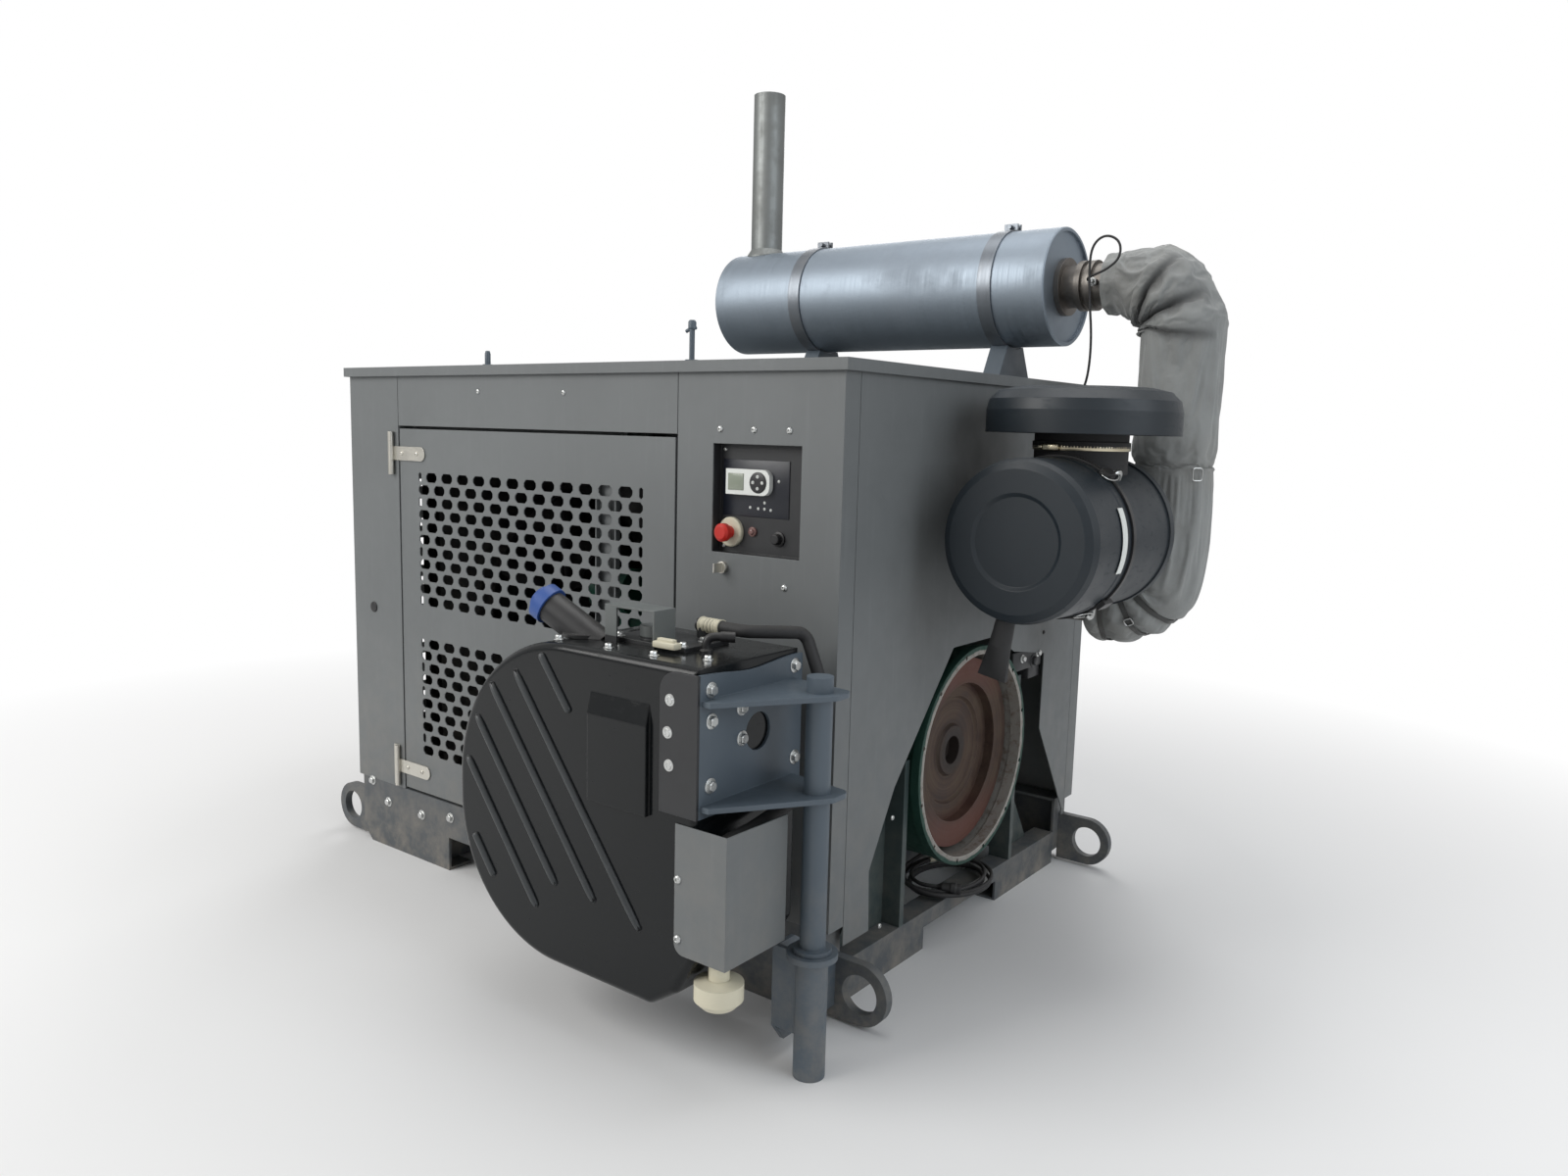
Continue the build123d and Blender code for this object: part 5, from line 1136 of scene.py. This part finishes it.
# %% Control panel instruments
dressed("overlay_plate", [rounded_box((0.527, -0.6048, 1.060), (0.708, -0.6025, 1.182), 0.0007)],
        overlay_film)
dressed("display_window", [rounded_box((0.551, -0.6184, 1.1165), (0.594, -0.6165, 1.1525),
                                       0.0008)], window_film)
pad_x, pad_z, key_reach = 0.6335, 1.1345, 0.0125
front_disc("display_pad", pad_x, pad_z, [(-0.001, 0.0225), (0.0010, 0.0225), (0.0022, 0.0205),
                                         (0.0018, 0.0060)], black_plastic,
           -0.617, 48)
dressed("pad_keys", [button_head((pad_x + key_reach * cos(a), -0.619, pad_z + key_reach * sin(a)),
                                 door_way, 0.0038) for a in np.arange(4) * pi / 2],
        display_plastic)
lamp_places = [(0.604, 1.080), (0.626, 1.0785), (0.643, 1.0785), (0.660, 1.077), (0.643, 1.092),
               (0.680, 1.139)]
dressed("panel_lamps", [button_head((x, -0.6045, z), door_way, 0.0033) for x, z in lamp_places],
        display_plastic)
front_disc("stop_disc", 0.553, 1.024, [(0.0, 0.0325), (0.0074, 0.0325), (0.0098, 0.0300),
                                       (0.0098, 0.0180)], cream_plastic, sides=64)
front_disc("pilot_lamp", 0.612, 1.028, [(-0.001, 0.0105), (0.004, 0.0105), (0.005, 0.0095),
                                        (0.005, 0.0070), (0.0085, 0.0055), (0.0098, 0.0025)],
           lamp_lens)
front_disc("start_knob", 0.682, 1.017, [(-0.001, 0.0165), (0.003, 0.0165), (0.004, 0.0120),
                                        (0.016, 0.0110), (0.0175, 0.0095), (0.0175, 0.003)],
           black_plastic)
on_front("panel_corner_screws", panel_face, 0.0045,
         *[(x, z) for z in (0.992, 1.203) for x in (0.530, 0.745)])

# %% [markdown]
# The air cleaner's canister closes with wire latches over its joint, and a
# bright band clamp grips the neck under the rain cap. A latch is a bent wire
# loop that follows the canister's curve, with a small cast hook behind it. A
# thin strip of pale plastic lies on the canister's side.

# %% Air cleaner latches, clamp and strip
cleaner_axis = np.array([1.110, 0.0, 1.029])
joint_y = -0.164


def latch(angle):
    """Wire loop from in front of the joint to behind it, and its hook."""
    t = np.linspace(0, 1, 40)
    along = joint_y - 0.030 + 0.066 * (0.5 - 0.5 * np.cos(2 * pi * t))
    swing = angle + 0.085 * np.sin(2 * pi * t)
    lift = 0.1800 + 0.006 * np.sin(pi * t) ** 2
    line = np.stack([cleaner_axis[0] + lift * np.cos(swing), along,
                     cleaner_axis[2] + lift * np.sin(swing)], -1)
    out = np.array([cos(angle), 0.0, sin(angle)])
    hook_line = smooth_path([cleaner_axis + out * r + (0, joint_y + y, 0) for r, y in
                             ((0.172, 0.060), (0.186, 0.046), (0.190, 0.030), (0.184, 0.020))], 20)
    hook_radius = np.interp(np.arange(20), [0, 10, 19], [0.009, 0.0065, 0.004])
    return [tube(line, 0.0017, 10), tube(hook_line, hook_radius, 14)]


def pale_strip(angles, depths, low=0.1764, high=0.1772):
    """Strip on the canister: a grid at one radius, closed by a rim to a lower one."""
    angle = np.linspace(*angles, 24)[:, None]
    y = np.linspace(*depths, 6)[None, :]
    rise = np.array([low, high])[:, None, None]
    grid = np.stack(np.broadcast_arrays(cleaner_axis[0] + rise * np.cos(angle), y,
                                        cleaner_axis[2] + rise * np.sin(angle)), -1)
    rims = [np.concatenate([g[:, 0], g[-1, 1:], g[::-1, -1][1:], g[0, ::-1][1:-1]]) for g in grid]
    faces = grid_faces(2, len(rims[0]), True) + grid_faces(24, 6, False, 2 * len(rims[0]))
    return np.concatenate([*rims, grid[1].reshape(-1, 3)]), faces


dressed("cleaner_latches", [part for a in (0.88, -1.15, 2.30, -2.55) for part in latch(a)], zinc)
clamp_profile = [(0.0, 0.1030), (0.0005, 0.1072), (0.0030, 0.1080), (0.0100, 0.1080),
                 (0.0125, 0.1072), (0.0130, 0.1030)]
dressed("neck_clamp", [turned(clamp_profile, (1.110, -0.048, 1.2185), upwards, 96)], clamp_metal)
dressed("neck_clamp_screw", [
    rounded_box((1.070, -0.1665, 1.2180), (1.106, -0.1540, 1.2325), 0.003),
    hex_bolt((1.068, -0.160, 1.2250), (-1, 0, 0), 0.010)], clamp_metal)
dressed("blank_strip", [pale_strip((-0.36, 0.44), (-0.222, -0.196))], display_plastic)

# %% [markdown]
# Last come the parts that the photograph shows round the engine: a black
# mounting block in the opening's upper corner, the gland where the sensor
# cable enters the wall, a nut on the silencer's boss, a pale tape round the
# harness, and two pins that stand on the roof lid for its lifting hooks.

# %% Gland, tape, mounting block and roof pins
gland_profile = [(-0.001, 0.0145, 1), (0.007, 0.0145, 1), (0.008, 0.0125, 0),
                 (0.016, 0.0115, 0), (0.022, 0.0078, 0), (0.025, 0.0045, 0)]
dressed("cable_gland", [turned(gland_profile, (end_face, 0.225, 1.300), drive_way)],
        black_plastic)
nut_profile = [(-0.014, 0.0115, 1), (-0.004, 0.0115, 1), (-0.003, 0.0085, 0),
               (0.010, 0.0065, 0), (0.012, 0.0040, 0)]
dressed("sensor_nut", [turned(nut_profile, tuple(lead_start), door_way)], zinc)

tape_place = np.array([0.770, 0.060, 0.130])
tape_middle = int(np.argmin(np.linalg.norm(harness_line - tape_place, axis=1)))
tape_line = harness_line[tape_middle - 7:tape_middle + 8]
tape_swell = harness_wire / 2 + 0.0016 + 0.0005 * np.cos(np.arange(len(tape_line)) * 2.1)
dressed("harness_tape", [tube(tape_line, tape_swell, 20)], cream_plastic)
print("tape at harness point", tape_middle, "of", len(harness_line))

dressed("corner_mounting", [
    rounded_box((0.838, 0.196, 0.628), (0.856, 0.368, 0.682), 0.004),
    rounded_box((0.800, 0.300, 0.596), (0.852, 0.368, 0.650), 0.004),
    hex_bolt((0.856, 0.318, 0.646), drive_way, 0.026, 0.010)], black_paint)
fasteners("mounting_bolts", [(0.856, 0.250, 0.660), (0.856, 0.345, 0.664)], drive_way, 0.016,
          hex_bolt)

short_pin = [(-0.001, 0.013), (0.004, 0.013), (0.0045, 0.0075), (0.030, 0.0075), (0.038, 0.0055)]
long_pin = [(-0.001, 0.015), (0.004, 0.015), (0.0045, 0.0060), (0.070, 0.0060),
            (0.072, 0.0090), (0.086, 0.0090), (0.090, 0.0060)]
pin_hook = smooth_path([(0.408, -0.600, roof_top + 0.066), (0.418, -0.600, roof_top + 0.070),
                        (0.436, -0.600, roof_top + 0.073)], 12)
dressed("roof_pins", [turned(short_pin, (-0.280, -0.600, roof_top), upwards),
                      turned(long_pin, (0.425, -0.600, roof_top), upwards),
                      tube(pin_hook, 0.004, 12)], frame_paint)

# %% [markdown]
# The object stands on a pale floor under a large soft lamp on the door's
# side, a weaker cool one on the drive end's side and a wide overhead one that
# draws the long highlight on the drum. The backdrop is white to the camera,
# weaker in reflections, and a gentle grey to the light that falls on the
# object.

# %% Floor, lamps and backdrop
floor_mesh = bpy.data.meshes.new("floor")
floor_mesh.from_pydata([(-30, -30, 0), (30, -30, 0), (30, 30, 0), (-30, 30, 0)], [], [(0, 1, 2, 3)])
floor = bpy.data.objects.new("floor", floor_mesh)
bpy.context.scene.collection.objects.link(floor)


def floor_material():
    """Pale matt floor that fades to plain white away from the object."""
    f = Finish("pale_floor")
    f.done((0.80, 0.80, 0.80), 0.9)
    white = f.add("ShaderNodeEmission")
    white.inputs["Strength"].default_value = 1.0
    away = f.span(f.distance((0, 0, 0), (1, 1, 0)), 1.6, 3.6)
    blend = f.add("ShaderNodeMixShader")
    f.feed(f.times(away, f.add("ShaderNodeLightPath").outputs["Is Camera Ray"]), blend.inputs[0])
    f.feed(f.shader.outputs["BSDF"], blend.inputs[1])
    f.feed(white.outputs["Emission"], blend.inputs[2])
    f.feed(blend.outputs["Shader"], f.tree.nodes["Material Output"].inputs["Surface"])
    return f.material


floor_mesh.materials.append(floor_material())


def soft_lamp(name, place, target, size, power, colour=(1, 1, 1)):
    """Square area lamp that faces a point."""
    data = bpy.data.lights.new(name, "AREA")
    data.energy = power
    data.size = size
    data.color = colour
    lamp = bpy.data.objects.new(name, data)
    lamp.location = place
    lamp.rotation_euler = (Vector(target) - Vector(place)).to_track_quat("-Z", "Y").to_euler()
    bpy.context.scene.collection.objects.link(lamp)


soft_lamp("door_side_lamp", (-2.6, -5.2, 4.2), (0, 0, 0.7), 4.0, 265, (1.0, 0.99, 0.97))
soft_lamp("drive_end_lamp", (5.6, -0.6, 3.0), (0.6, 0, 0.8), 3.5, 80, (0.86, 0.93, 1.0))
soft_lamp("overhead_lamp", (0.6, 0.6, 5.6), (0.2, 0.1, 1.2), 4.0, 110)
soft_lamp("back_lamp", (-3.0, 5.0, 3.6), (0, 0, 0.8), 3.5, 110)

world = bpy.data.worlds.new("studio")
bpy.context.scene.world = world
world.use_nodes = True
sky = Nodes(world.node_tree)
lit_level, mirrored_share = 0.34, 0.36
rays = sky.add("ShaderNodeLightPath").outputs
mirrored = sky.math("MAXIMUM", rays["Is Glossy Ray"], rays["Is Transmission Ray"])
seen = sky.math("MAXIMUM", rays["Is Camera Ray"], sky.times(mirrored, mirrored_share))
backdrop = world.node_tree.nodes["Background"].inputs
sky.feed(sky.span(seen, 0, 1, lit_level, 1.0), backdrop["Strength"])
sky.feed((1, 1, 1, 1), backdrop["Color"])
bpy.context.scene.view_settings.view_transform = "Standard"
